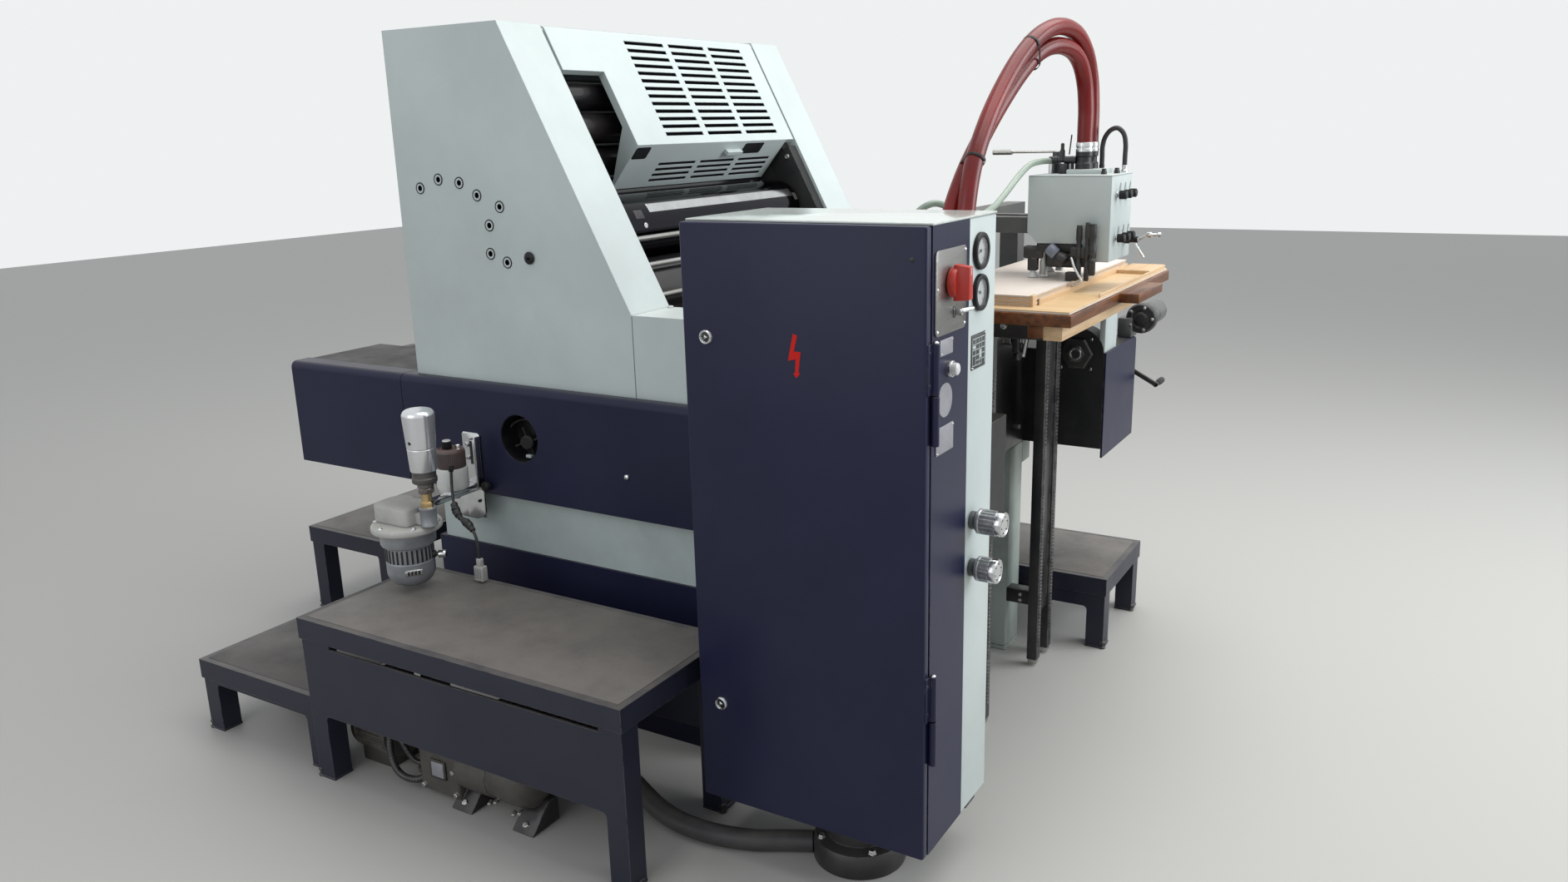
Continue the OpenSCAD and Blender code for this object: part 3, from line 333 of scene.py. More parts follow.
def bent_rod(bm, spots, radii, tip, mat=0, steps=16):
    """Bent bar: one straight length after another, each with a small tip at its ends."""
    for a, b, r in zip(spots, spots[1:], radii):
        long = (b - a).length
        turned(bm, [(0, -tip), (r, 0), (r, long), (0, long + tip)], a, b - a, mat, steps)


def around(count, start=0):
    """Angles of things set evenly round a circle."""
    return [math.radians(start + 360 / count * i) for i in range(count)]


def brick(bm, low, high, edge=0.001, mat=0, segments=2, turn=None):
    """Block between two corners with rounded edges, turned about its middle."""
    part = bmesh.new()
    bmesh.ops.create_cube(part, size=1)
    bmesh.ops.scale(part, vec=Vector(high) - Vector(low), verts=part.verts)
    if edge:
        soften(part, part.edges[:], edge, segments)
    if turn:
        bmesh.ops.rotate(part, cent=(0, 0, 0), matrix=turn, verts=part.verts)
    bmesh.ops.translate(part, vec=(Vector(high) + Vector(low)) / 2, verts=part.verts)
    join(bm, part, mat)


def block(bm, middle, half, edge=0.001, mat=0, turn=None):
    """Block about its middle, from half its sizes."""
    brick(bm, middle - Vector(half), middle + Vector(half), edge=edge, mat=mat, turn=turn)


def cut_sheet(bm, outline, push, edge=0.0, mat=0):
    """Flat outline given thickness, with its edges rounded."""
    part = bmesh.new()
    face = part.faces.new([part.verts.new(p) for p in outline])
    out = bmesh.ops.extrude_face_region(part, geom=[face], use_keep_orig=True)
    moved = [g for g in out["geom"] if isinstance(g, bmesh.types.BMVert)]
    bmesh.ops.translate(part, vec=push, verts=moved)
    if edge:
        part.normal_update()
        soften(part, [line for line in part.edges if line.calc_face_angle(0) > 0.6], edge)
    join(bm, part, mat)


def piece(name, bm, body, slot, materials, *nodes):
    """Finished piece: its creases are kept sharp, and it rides on its body."""
    for line in bm.edges:
        if len(line.link_faces) == 2 and line.calc_face_angle(0) > math.radians(32):
            line.smooth = False
    data = bpy.data.meshes.new(name)
    bm.to_mesh(data)
    bm.free()
    for material in materials:
        data.materials.append(material)
    found = bpy.data.objects.new(name, data)
    bpy.context.scene.collection.objects.link(found)
    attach(found, body)
    if nodes:
        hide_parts(*nodes)
    return found


# Nine small sight holes in the near cover, each lined with a black ring round a pale liner. The eight
# open ones are filled with a black core, painted shade for the dark inside of each hole. The ninth is
# closed by a black plug with a short pin.
black_plastic = finish("black_plastic", (0.01, 0.01, 0.012), (0.02, 0.02, 0.022), (0.3, 0.5), scale=20,
    grain=300, bump=0.1, shine=0.25)
chrome = finish("chrome", (0.66, 0.67, 0.68), (0.52, 0.53, 0.54), (0.1, 0.24), metal=1.0, scale=12,
    grain=300, bump=0.04)
cover_y = -0.61
bm = bmesh.new()
for x, z in ((-0.322, 1.319), (-0.257, 1.34), (-0.188, 1.332), (-0.133, 1.303), (-0.063, 1.277),
        (-0.101, 1.233), (-0.105, 1.166), (-0.053, 1.147)):
    turned(bm, [(0, -0.0275), (0.0068, -0.0275), (0.0068, 0.0006)], (x, cover_y, z), to_near)
    turned(bm, [(0.0068, 0.0006), (0.0073, 0.0012), (0.0112, 0.0013), (0.0118, 0.0007)], (x, cover_y, z),
        to_near, mat=1)
    turned(bm, [(0.0118, 0.0007), (0.0122, 0.0016), (0.0138, 0.0017), (0.0144, 0.0002), (0.0144, -0.0005)],
        (x, cover_y, z), to_near)
turned(bm, [(0, -0.02), (0.0066, -0.02), (0.0066, 0.001), (0.014, 0.0016), (0.0148, 0.0045),
    (0.012, 0.0062), (0.0032, 0.0068), (0.0028, 0.015), (0, 0.0156)], (0.02, cover_y, 1.16), to_near)
piece("sight_hole_rings", bm, "press", "black_plastic", [black_plastic, pale_paint])

# Four chrome socket screws hold the low covers behind the thick ones, two at each side.
# Their heads stand on the covers' flat tops.
bm = bmesh.new()
for x, y, z, way in ((0.324, -0.48, 1.041, to_top), (0.67, -0.48, 1.041, to_top),
        (0.324, 0.48, 1.041, to_top), (0.67, 0.48, 1.041, to_top)):
    turned(bm, [(0, 0), (0.0075, 0), (0.0075, 0.0038), (0.0066, 0.005), (0.0038, 0.005), (0.0036, 0.0022),
        (0, 0.0022)], (x, y, z), way)
piece("cover_screws", bm, "press", "chrome", [chrome])


# Inside are four glossy black ink rollers, the polished plate cylinder and the black blanket
# cylinder, all running in the side frames, with bright steel bars across in front of them. The plate
# cylinder's steel is drawn nearly black: painted shade, for the dark inside of the press that it reflects.
roller_rubber = finish("roller_rubber", (0.01, 0.01, 0.013), (0.026, 0.022, 0.02), (0.14, 0.28), scale=6,
    grain=60, bump=0.05, coat=0.25, stretch=(1, 0.15, 1))
# The plate cylinder's steel is nearly black: painted shade for the dark surroundings it reflects.
shaded_cylinder_steel = finish("shaded_cylinder_steel", (0.026, 0.026, 0.031), (0.013, 0.013, 0.016), (0.08, 0.16),
    metal=1.0, scale=4, grain=140, bump=0.04, stretch=(1, 0.2, 1))
bar_steel = finish("bar_steel", (0.5, 0.5, 0.49), (0.34, 0.33, 0.31), (0.18, 0.36), metal=1.0, scale=9,
    grain=220, bump=0.06)
dress(roller_rubber, "ink_roller_1", "ink_roller_2", "ink_roller_3", "ink_roller_4", "blanket_cylinder")
dress(shaded_cylinder_steel, "plate_cylinder")
dress(bar_steel, "cross_rods")


# The control cabinet has a blue sheet-steel front box with its door and a pale rear box for the air.
# A pale lid lies over both, a little proud all round, and the box stands on one round foot.
lid_paint = finish("lid_paint", (0.62, 0.68, 0.64), (0.52, 0.57, 0.53), (0.12, 0.25), scale=3, grain=300,
    bump=0.04, coat=0.5, wear=(0.35, 0.35, 0.33))
dress(blue_paint, "cabinet_shell")

steel = finish("stainless_plate", (0.27, 0.265, 0.255), (0.2, 0.195, 0.19), (0.26, 0.42), metal=0.9,
    scale=8, grain=260, bump=0.12, stretch=(1, 1, 6))
cast_aluminium = finish("cast_aluminium", (0.46, 0.47, 0.46), (0.34, 0.34, 0.33), (0.35, 0.55), metal=0.8,
    scale=12, grain=200, bump=0.35, wear=(0.6, 0.6, 0.58))
red_plastic = finish("red_plastic", (0.52, 0.035, 0.022), (0.42, 0.025, 0.018), (0.3, 0.42), scale=14,
    grain=260, bump=0.08)
white_plastic = finish("white_plastic", (0.72, 0.73, 0.72), (0.62, 0.62, 0.6), (0.22, 0.36), scale=14,
    grain=260, bump=0.06)
pale_wood = finish("pale_wood", (0.66, 0.46, 0.27), (0.56, 0.37, 0.2), (0.45, 0.6), scale=7, grain=140,
    bump=0.15, stretch=(9, 0.7, 9), wear=(0.75, 0.58, 0.38))
step_paint = finish("step_paint", (0.018, 0.02, 0.036), (0.026, 0.028, 0.045), (0.34, 0.5), scale=4,
    grain=300, bump=0.15, wear=(0.13, 0.12, 0.12), worn=0.45, shine=0.3, dust=(0.135, 0.125, 0.115, 0.95))
dress(step_paint, "step_high", "step_low", "step_far", "step_delivery")


# Small things on the covers: a black knob beside the sprayer's bracket, a chrome screw, and in the
# dark hand hole the rim of a wheel and a pale lug. A chrome ball on a stem sits behind the guard.
base_y = -0.64
bm = bmesh.new()
# The hand hole is lined with a black cup: painted shade for its dark inside.
turned(bm, [(0, -0.0585), (0.0586, -0.0585), (0.0586, -0.0012), (0.0592, -0.0008), (0.0597, -0.0012),
    (0.0597, -0.0597), (0, -0.0597)], (-0.035, base_y, 0.722), to_near, mat=0, steps=48)
turned(bm, [(0.006, -0.001), (0.006, 0.003), (0.0105, 0.0035), (0.013, 0.006), (0.013, 0.015),
    (0.0122, 0.018), (0.008, 0.021), (0, 0.0215)], (-0.15, base_y, 0.588), to_near, mat=0, steps=40)
turned(bm, [(0.0072, -0.001), (0.0072, 0.002), (0.0058, 0.0045), (0.0028, 0.006), (0, 0.0063)],
    (0.294, base_y, 0.668), to_near, mat=1)
wheel_at = (-0.05, -0.592, 0.702)
wheel_way = (0.25, -1, 0)
turned(bm, [(0.056, -0.006), (0.06, -0.006), (0.06, 0.006), (0.056, 0.006), (0.056, -0.006)], wheel_at,
    wheel_way, mat=2, steps=48)
turned(bm, [(0, -0.004), (0.018, -0.004), (0.018, 0.01), (0.015, 0.012), (0, 0.012)], wheel_at, wheel_way,
    mat=2, steps=32)
for a in around(4, 20):
    spoke = Vector((math.cos(a), 0.25 * math.cos(a), math.sin(a)))
    turned(bm, rod(0.003, 0.012, 0.04), wheel_at, spoke, mat=2, steps=12)
brick(bm, (-0.04, -0.618, 0.668), (-0.022, -0.606, 0.676), edge=0.002, mat=3)
ball_at = (0.03, 0.405, 1.279)
ball = [(0.011 * math.sin(math.radians(t)), -0.011 * math.cos(math.radians(t))) for t in range(0, 181, 15)]
turned(bm, ball, ball_at, to_far, mat=1, steps=24)
turned(bm, rod(0.004, 0.008, 0.08), ball_at, to_far, mat=1, steps=16)
piece("cover_knob_screw_and_wheel", bm, "press", "black_plastic", [black_plastic, chrome, frame_cast_and_shade,
    pale_paint])

# A dark cheek plate on the far side frame stands just behind the slope, below the guard. It carries
# the frame's black casting colour with the shade inside the press painted on. It is held by two socket
# screws.
slope_run, slope_drop = 0.4619, 0.8869
screw_head = socket(0.0075, -0.001, 0.003, 0.0062, 0.0042, 0.0036, 0.0034, 0.0016)
bm = bmesh.new()


def on_slope(s, deep, y):
    """Point at a distance down the covers' slope from the top, and a depth behind it."""
    return Vector((-0.028 + slope_run * s - slope_drop * deep, y, 1.69 - slope_drop * s - slope_run * deep))


cut_sheet(bm, [on_slope(s, d, 0.4246) for s, d in ((0.334, 0.008), (0.724, 0.008), (0.724, 0.09),
    (0.334, 0.09))], (0, 0.04, 0), edge=0.0015)
for s in (0.36, 0.69):
    turned(bm, screw_head, on_slope(s, 0.028, 0.4246), to_near, mat=1, steps=20)
piece("frame_cheek_shade_plate", bm, "press", "cast_dark", [frame_cast_and_shade, bar_steel])

# The rear cover is held by eight socket screws and has two black pull handles, each a moulded bar
# on two short feet over a back plate.
rear_x = -0.4
bm = bmesh.new()
for y in (-0.452, 0.452):
    for z in (0.88, 1.13, 1.38, 1.63):
        turned(bm, screw_head, (rear_x, y, z), to_delivery, steps=20)
for y in (-0.3, 0.3):
    brick(bm, (-0.402, y - 0.072, 1.27), (-0.399, y + 0.072, 1.318), edge=0.0012, mat=1)
    brick(bm, (-0.424, y - 0.06, 1.284), (-0.414, y + 0.06, 1.304), edge=0.0045, mat=1, segments=3)
    for end in (-0.056, 0.056):
        brick(bm, (-0.42, y + end - 0.007, 1.284), (rear_x, y + end + 0.007, 1.304), edge=0.003, mat=1)
piece("rear_cover_screws_and_handles", bm, "press", "chrome", [bar_steel, black_plastic])

# The guard is thin folded sheet. Black liners stand inside the walls of all fifty-one slots, in the face
# and in the fold: painted shade, so that the slots look dark inside.
fold_x, fold_z = 0.1189, 1.408
bm = bmesh.new()
fold_down = Vector((-0.6485, 0, -0.7612))
fold_out = Vector((0.761, 0, -0.648))
slots = []
for i in range(3):
    for j in range(13):
        slots.append((on_slope(0.027 + 0.0215 * j, 0.0012, -0.167 + 0.19 * i),
            Vector((slope_run, 0, -slope_drop)), 0.01, Vector((-slope_drop, 0, -slope_run)) * 0.0186))
    for j in range(4):
        slots.append((Vector((fold_x, -0.167 + 0.19 * i, fold_z)) + fold_down * (0.062 + 0.018 * j)
            - fold_out * 0.0008, fold_down, 0.009, -fold_out * 0.005))
for start, down, high, inward in slots:
    for near, far, top, low in ((0, 0.166, 0, 0.0006), (0, 0.166, high - 0.0006, high),
            (0, 0.0006, 0.0006, high - 0.0006), (0.1654, 0.166, 0.0006, high - 0.0006)):
        cut_sheet(bm, [start + down * t + Vector((0, y, 0)) for t, y in ((top, near), (top, far),
            (low, far), (low, near))], inward)
piece("guard_slot_shade_liners", bm, "front_guard", "black_plastic", [black_plastic])

# The guard's folded-in part has two wider dark oblongs beside its slots. They are thin black patches
# laid on the sheet, painted shade that stands for two openings into the dark inside.
bm = bmesh.new()
for near, far in ((-0.3, -0.24), (0.2, 0.3)):
    corner = Vector((fold_x, 0, fold_z)) + fold_out * 0.0001
    cut_sheet(bm, [corner + fold_down * t + Vector((0, y, 0)) for t, y in ((0.012, near),
        (0.008, near + 0.004), (0.008, far - 0.004), (0.012, far), (0.041, far), (0.045, far - 0.004),
        (0.045, near + 0.004), (0.041, near))], fold_out * 0.0004)
piece("guard_fold_shade_patches", bm, "front_guard", "black_plastic", [black_plastic])

# The plate cylinder's gap is closed by a chrome clamp bar, drawn wide and bright so that it also
# carries a painted highlight across the cylinder, with a dark clamp near each end. A bright screw head
# shows below the bar.
cylinder_x, cylinder_z = 0.075, 1.205
bm = bmesh.new()


def on_cylinder(angle, y, r):
    """Point on the plate cylinder at an angle above level."""
    a = math.radians(angle)
    return Vector((cylinder_x + r * math.cos(a), y, cylinder_z + r * math.sin(a)))


for low, high, near, far, mat in ((29, 46, -0.31, 0.388, 0), (20, 35, -0.372, -0.34, 1),
        (20, 35, 0.394, 0.412, 1)):
    part = bmesh.new()
    rows = []
    for r in (0.0846, 0.0854):
        for y in (near, far):
            rows.append([part.verts.new(on_cylinder(low + (high - low) * i / 8, y, r)) for i in range(9)])
    for i in range(8):
        for a, b in ((0, 1), (3, 2), (2, 0), (1, 3)):
            part.faces.new((rows[a][i], rows[b][i], rows[b][i + 1], rows[a][i + 1]))
    for i in (0, 8):
        part.faces.new((rows[0][i], rows[1][i], rows[3][i], rows[2][i]))
    join(bm, part, mat)
spot = on_cylinder(8, -0.34, 0.0846)
turned(bm, [(0.007, 0), (0.0066, 0.0006), (0, 0.0006)], spot,
    spot - Vector((cylinder_x, -0.34, cylinder_z)), mat=0, steps=24)
piece("plate_clamp_bar_and_highlight", bm, "plate_cylinder", "bright_steel", [chrome, black_steel])


# The cabinet's door is one folded sheet of blue steel with rounded edges, hung on two blue hinges.
# It carries two chrome quarter-turn locks, a small dark screw and a plain red lightning sign.
sign_red = finish("sign_red", (0.62, 0.016, 0.01), (0.55, 0.014, 0.009), (0.35, 0.5), scale=30, bump=0.03,
    shine=0.15)
black_enamel = finish("black_enamel", (0.01, 0.01, 0.012), (0.022, 0.022, 0.024), (0.22, 0.4), scale=15,
    grain=260, bump=0.1)
face_x, door_y = 1.18, -0.946
hinge = (1.188, -0.9245)
bm = bmesh.new()
brick(bm, (0.695, door_y, 0.13), (face_x, -0.926, 1.282), edge=0.0045, segments=3)
for low in (0.408, 1.005):
    turned(bm, [(0, 0), (0.0055, 0), (0.0065, 0.001), (0.0065, 0.085), (0.0055, 0.086), (0, 0.086)],
        (*hinge, low), to_top)
    brick(bm, (face_x, -0.9425, low), (1.183, -0.9245, low + 0.086), edge=0.0008)
    brick(bm, (face_x, -0.931, low), (1.188, -0.9245, low + 0.086), edge=0.0005)
    for z in (low + 0.016, low + 0.07):
        turned(bm, [(0.0036, 0.0026), (0.003, 0.004), (0, 0.0044)], (face_x, -0.937, z), to_feeder)
for z in (0.344, 1.076):
    turned(bm, [(0.0134, 0), (0.0134, 0.0022), (0.0122, 0.004), (0.0098, 0.004), (0.009, 0.0014),
        (0.009, 0.0002)], (0.745, door_y, z), to_near, mat=2)
    turned(bm, [(0.009, 0.0002), (0.0086, 0.0012), (0.005, 0.0016), (0, 0.0016)], (0.745, door_y, z),
        to_near, mat=1)
    turned(bm, [(0.0046, 0.001), (0.004, 0.0034), (0, 0.0036)], (0.745, door_y, z), to_near, mat=2, steps=3)
turned(bm, [(0.0042, 0), (0.0036, 0.0018), (0.0012, 0.0022), (0, 0.0012)], (1.154, door_y, 1.229), to_near,
    mat=1)
sign = [(0.42, 0), (0.72, 0.04), (0.47, 0.4), (0.95, 0.4), (0.77, 0.88), (0.9, 0.88), (0.62, 1.0),
    (0.38, 0.9), (0.52, 0.89), (0.58, 0.57), (0.03, 0.62)]
cut_sheet(bm, [(0.917 + 0.028 * u, door_y, 1.094 - 0.078 * v) for u, v in sign], (0, -0.0003, 0), mat=3)
piece("door_panel_with_locks", bm, "cabinet_door", "blue_paint",
    [blue_paint, black_enamel, chrome, sign_red], "cabinet_door")

# The fixed box is plain folded sheet. Its hinge halves have rounded edges and painted screws, and a
# bright steel pin with a round top stands out of each hinge.
bm = bmesh.new()
for low in (0.32, 0.917):
    turned(bm, [(0, 0), (0.0058, 0), (0.0068, 0.001), (0.0068, 0.085), (0.0058, 0.086), (0, 0.086)],
        (*hinge, low), to_top)
    brick(bm, (1.1798, -0.9245, low - 0.0003), (1.1833, -0.9062, low + 0.0863), edge=0.0008)
    for z in (low + 0.016, low + 0.07):
        turned(bm, [(0.0036, 0.0029), (0.003, 0.0043), (0, 0.0047)], (face_x, -0.912, z), to_feeder)
    turned(bm, rod(0.0029, 0.086, 0.0875), (*hinge, low), to_top, mat=1)
    turned(bm, [(0, 0.1745), (0.005, 0.1745), (0.0052, 0.1765), (0.003, 0.1785), (0, 0.179)], (*hinge, low),
        to_top, mat=1)
piece("hinge_halves", bm, "press", "blue_paint", [blue_paint, chrome])


# The rear part of the cabinet is a folded pale box. Its lid is a separate glossy pale sheet that laps
# over both parts and shows a thin bright edge all round.
bm = bmesh.new()
brick(bm, (0.695, -0.766, 0.13), (face_x, -0.64, 1.2815), edge=0.0035, segments=3)
piece("pale_rear_box", bm, "press", "pale_paint", [pale_paint], "cabinet_rear")
bm = bmesh.new()
brick(bm, (0.6945, -0.9235, 1.2815), (1.1815, -0.6395, 1.286), edge=0.0018, segments=3)
piece("cabinet_lid", bm, "press", "pale_paint", [lid_paint])


# Bare plates are screwed to the feeder-side face: a big stainless one with rounded corners behind the
# switch, two small labels and a disc that are blank, and a dark data plate with an empty grid.
label_grey = finish("label_grey", (0.34, 0.34, 0.37), (0.27, 0.27, 0.3), (0.35, 0.5), metal=0.3, scale=18,
    bump=0.04)
plate_black = finish("plate_black", (0.022, 0.024, 0.026), (0.045, 0.047, 0.048), (0.3, 0.5), scale=30,
    bump=0.04)


def rounded(cy, cz, w, h, r, x, steps=6):
    """Rectangle with round corners on a face square to X."""
    found = []
    for k, (sy, sz) in enumerate(((1, 1), (-1, 1), (-1, -1), (1, -1))):
        for i in range(steps + 1):
            a = math.radians(90 * k + 90 * i / steps)
            found.append((x, cy + sy * (w / 2 - r) + r * math.cos(a),
                cz + sz * (h / 2 - r) + r * math.sin(a)))
    return found


bm = bmesh.new()
cut_sheet(bm, rounded(-0.85, 1.169, 0.13, 0.142, 0.011, face_x), (0.003, 0, 0), edge=0.0008)
cut_sheet(bm, rounded(-0.865, 1.076, 0.054, 0.028, 0.002, face_x), (0.0016, 0, 0), edge=0.0003, mat=1)
cut_sheet(bm, rounded(-0.869, 0.916, 0.074, 0.048, 0.002, face_x), (0.0016, 0, 0), edge=0.0003, mat=1)
turned(bm, [(0, 0), (0.03, 0), (0.03, 0.001), (0.0294, 0.0016), (0, 0.0016)], (face_x, -0.868, 0.984),
    to_feeder, mat=1, steps=48)
cut_sheet(bm, rounded(-0.7195, 1.0445, 0.067, 0.063, 0.0015, face_x), (0.0012, 0, 0), edge=0.0003, mat=2)
for z, low, high in ((1.068, -0.748, -0.691), (1.058, -0.748, -0.691), (1.048, -0.748, -0.691),
        (1.038, -0.748, -0.691), (1.028, -0.733, -0.691), (1.0195, -0.748, -0.705)):
    brick(bm, (1.1808, low, z - 0.0006), (1.1815, high, z + 0.0006), edge=0, mat=4)
for y in (-0.748, -0.733, -0.716, -0.705, -0.691):
    brick(bm, (1.1808, y - 0.0006, 1.019), (1.1815, y + 0.0006, 1.0685), edge=0, mat=4)
brick(bm, (1.1808, -0.746, 1.0505), (1.1814, -0.734, 1.056), edge=0, mat=4)
brick(bm, (1.1808, -0.714, 1.0305), (1.1814, -0.7065, 1.0455), edge=0, mat=4)
for y, z in ((-0.908, 1.176), (-0.908, 1.106), (-0.792, 1.232), (-0.792, 1.106), (-0.7495, 1.0165),
        (-0.6895, 1.0725), (-0.887, 1.066), (-0.843, 1.086), (-0.902, 0.896), (-0.836, 0.936)):
    size = 0.003 if z > 1.1 else 0.0016
    turned(bm, [(size, 0.0008), (size * 0.9, 0.0028), (size * 0.3, 0.004), (0, 0.0036)],
        (1.181 if z > 1.1 else 1.1802, y, z), to_feeder, mat=3, steps=16)
brick(bm, (1.1828, -0.8435, 1.121), (1.1834, -0.8335, 1.141), edge=0, mat=2)
brick(bm, (1.183, -0.84, 1.126), (1.199, -0.835, 1.138), edge=0.001, mat=3)
turned(bm, [(0, 0), (0.0034, 0), (0.0038, 0.003), (0.0038, 0.036), (0.0028, 0.039), (0, 0.039)],
    (1.19, -0.8375, 1.132), (0.35, 1, 0.05), mat=3, steps=20)
turned(bm, [(0.015, 0), (0.015, 0.004), (0.014, 0.0086), (0.0118, 0.009), (0.0112, 0.006), (0.0112, 0.001)],
    (face_x, -0.852, 1.036), to_feeder, mat=3, steps=40)
piece("bare_plates_and_bezel", bm, "press", "stainless", [steel, label_grey, plate_black, chrome,
    pale_paint], "control_plates")

# Red main switch: a round foot with a broad tapered grip across it, both moulded in red plastic.
# The grip carries a white mark, and the foot turns on the stainless plate.
bm = bmesh.new()
turned(bm, [(0.008, -0.003), (0.008, 0.0004), (0.0255, 0.0004), (0.026, 0.002), (0.026, 0.0105),
    (0.024, 0.014), (0, 0.0145)], (1.184, -0.85, 1.183), to_feeder, steps=48)
part = bmesh.new()
low = [(1.19, y, z) for y, z in ((-0.861, 1.1525), (-0.839, 1.1525), (-0.839, 1.2135), (-0.861, 1.2135))]
high = [(1.218, y, z) for y, z in ((-0.859, 1.1545), (-0.841, 1.1545), (-0.8425, 1.21), (-0.8575, 1.21))]
ring = [part.verts.new(p) for p in low + high]
for a, b, c, d in ((3, 2, 1, 0), (4, 5, 6, 7), (0, 1, 5, 4), (1, 2, 6, 5), (2, 3, 7, 6), (3, 0, 4, 7)):
    part.faces.new((ring[a], ring[b], ring[c], ring[d]))
soften(part, part.edges[:], 0.0022, 3)
join(bm, part)
brick(bm, (1.2176, -0.8512, 1.196), (1.2183, -0.8488, 1.208), edge=0, mat=1)
piece("red_switch_grip", bm, "main_switch", "red_plastic", [red_plastic, white_plastic], "main_switch")

# Domed white push button of moulded plastic. It slides in its chrome ring, which is screwed to the
# cabinet's face.
bm = bmesh.new()
turned(bm, [(0, 0.0055), (0.0108, 0.0055), (0.0108, 0.015), (0.01, 0.0172), (0.007, 0.0188), (0, 0.019)],
    (face_x, -0.852, 1.036), to_feeder, steps=40)
piece("white_button_cap", bm, "push_button", "white_plastic", [white_plastic], "push_button")


# Two air gauges sit in the pale face: black bezels round silver dials with ticks and a pointer,
# under slightly domed glass. Their scales carry no figures.
dial_silver = finish("dial_silver", (0.6, 0.61, 0.6), (0.5, 0.51, 0.5), (0.25, 0.4), metal=0.15, scale=25,
    bump=0.03)
dial_glass = bpy.data.materials.new("dial_glass")
dial_glass.use_nodes = True
nodes = dial_glass.node_tree.nodes
smear = add(nodes, "TexNoise", "Fac", {"Scale": 60})
smudge = add(nodes, "MapRange", "Result", {"To Min": 0.03, "To Max": 0.16, "Value": smear})
fill(nodes["Principled BSDF"], {"Base Color": (0.9, 0.93, 0.92, 1), "Roughness": smudge, "Alpha": 0.16})
gauge_y = -0.719
bm = bmesh.new()
for z, lean in ((1.222, 200), (1.149, 165)):
    at = (face_x, gauge_y, z)
    turned(bm, [(0.033, 0), (0.033, 0.005), (0.0318, 0.0074), (0.029, 0.008), (0.0252, 0.0074),
        (0.024, 0.0044), (0.024, 0.0008)], at, to_feeder, steps=64)
    turned(bm, [(0, 0.001), (0.024, 0.001)], at, to_feeder, mat=1, steps=64)
    turned(bm, [(0.0242, 0.0056), (0.016, 0.007), (0.008, 0.0076), (0, 0.0078)], at, to_feeder, mat=2,
        steps=64)
    for i in range(25):
        a = math.radians(-45 + 270 * i / 24)
        near = 0.018 if i % 4 == 0 else 0.02
        side = Vector((0, math.cos(a), math.sin(a)))
        over = Vector((0, -math.sin(a), math.cos(a))) * (0.0006 if i % 4 == 0 else 0.00035)
        spot = Vector((1.1812, gauge_y, z))
        cut_sheet(bm, [spot + side * near - over, spot + side * 0.0222 - over, spot + side * 0.0222 + over,
            spot + side * near + over], (0.0002, 0, 0))
    a = math.radians(lean)
    side = Vector((0, math.cos(a), math.sin(a)))
    over = Vector((0, -math.sin(a), math.cos(a)))
    spot = Vector((1.1822, gauge_y, z))
    cut_sheet(bm, [spot - side * 0.006 - over * 0.0012, spot + side * 0.019,
        spot - side * 0.006 + over * 0.0012], (0.0004, 0, 0))
    turned(bm, [(0.003, 0.0012), (0.003, 0.003), (0, 0.0034)], at, to_feeder, steps=20)
piece("gauge_dials", bm, "press", "black_plastic", [black_plastic, dial_silver, dial_glass], "gauges")


# Two air regulators stand out of the pale face: a dark neck, a silver body with long flutes and a
# bright notched ring at the end.
knob_silver = finish("knob_silver", (0.38, 0.39, 0.4), (0.28, 0.29, 0.3), (0.25, 0.42), metal=0.8, scale=30,
    grain=200, bump=0.15, wear=(0.7, 0.7, 0.7))
neck_grey = finish("neck_grey", (0.07, 0.075, 0.082), (0.12, 0.125, 0.13), (0.3, 0.5), metal=0.4, scale=30,
    bump=0.1)


def fluted(bm, at, axis, low, high, r, deep, count, mat=0, share=0.5):
    """Round knob with flutes along it, between two heights on its axis."""
    part = bmesh.new()
    ends = []
    for h in (low, high):
        loop = []
        for i in range(count):
            for k, cut in ((0, 0), (share - 0.08, 0), (share, deep), (0.92, deep)):
                a = 2 * math.pi * (i + k) / count
                loop.append(part.verts.new(((r - cut) * math.cos(a), (r - cut) * math.sin(a), h)))
        ends.append(loop)
    total = len(ends[0])
    for i in range(total):
        k = (i + 1) % total
        part.faces.new((ends[0][i], ends[0][k], ends[1][k], ends[1][i]))
    part.faces.new(ends[0][::-1])
    part.faces.new(ends[1])
    lean = Vector(to_top).rotation_difference(Vector(axis)).to_matrix()
    bmesh.ops.rotate(part, cent=(0, 0, 0), matrix=lean, verts=part.verts)
    bmesh.ops.translate(part, vec=at, verts=part.verts)
    join(bm, part, mat, smooth=False)


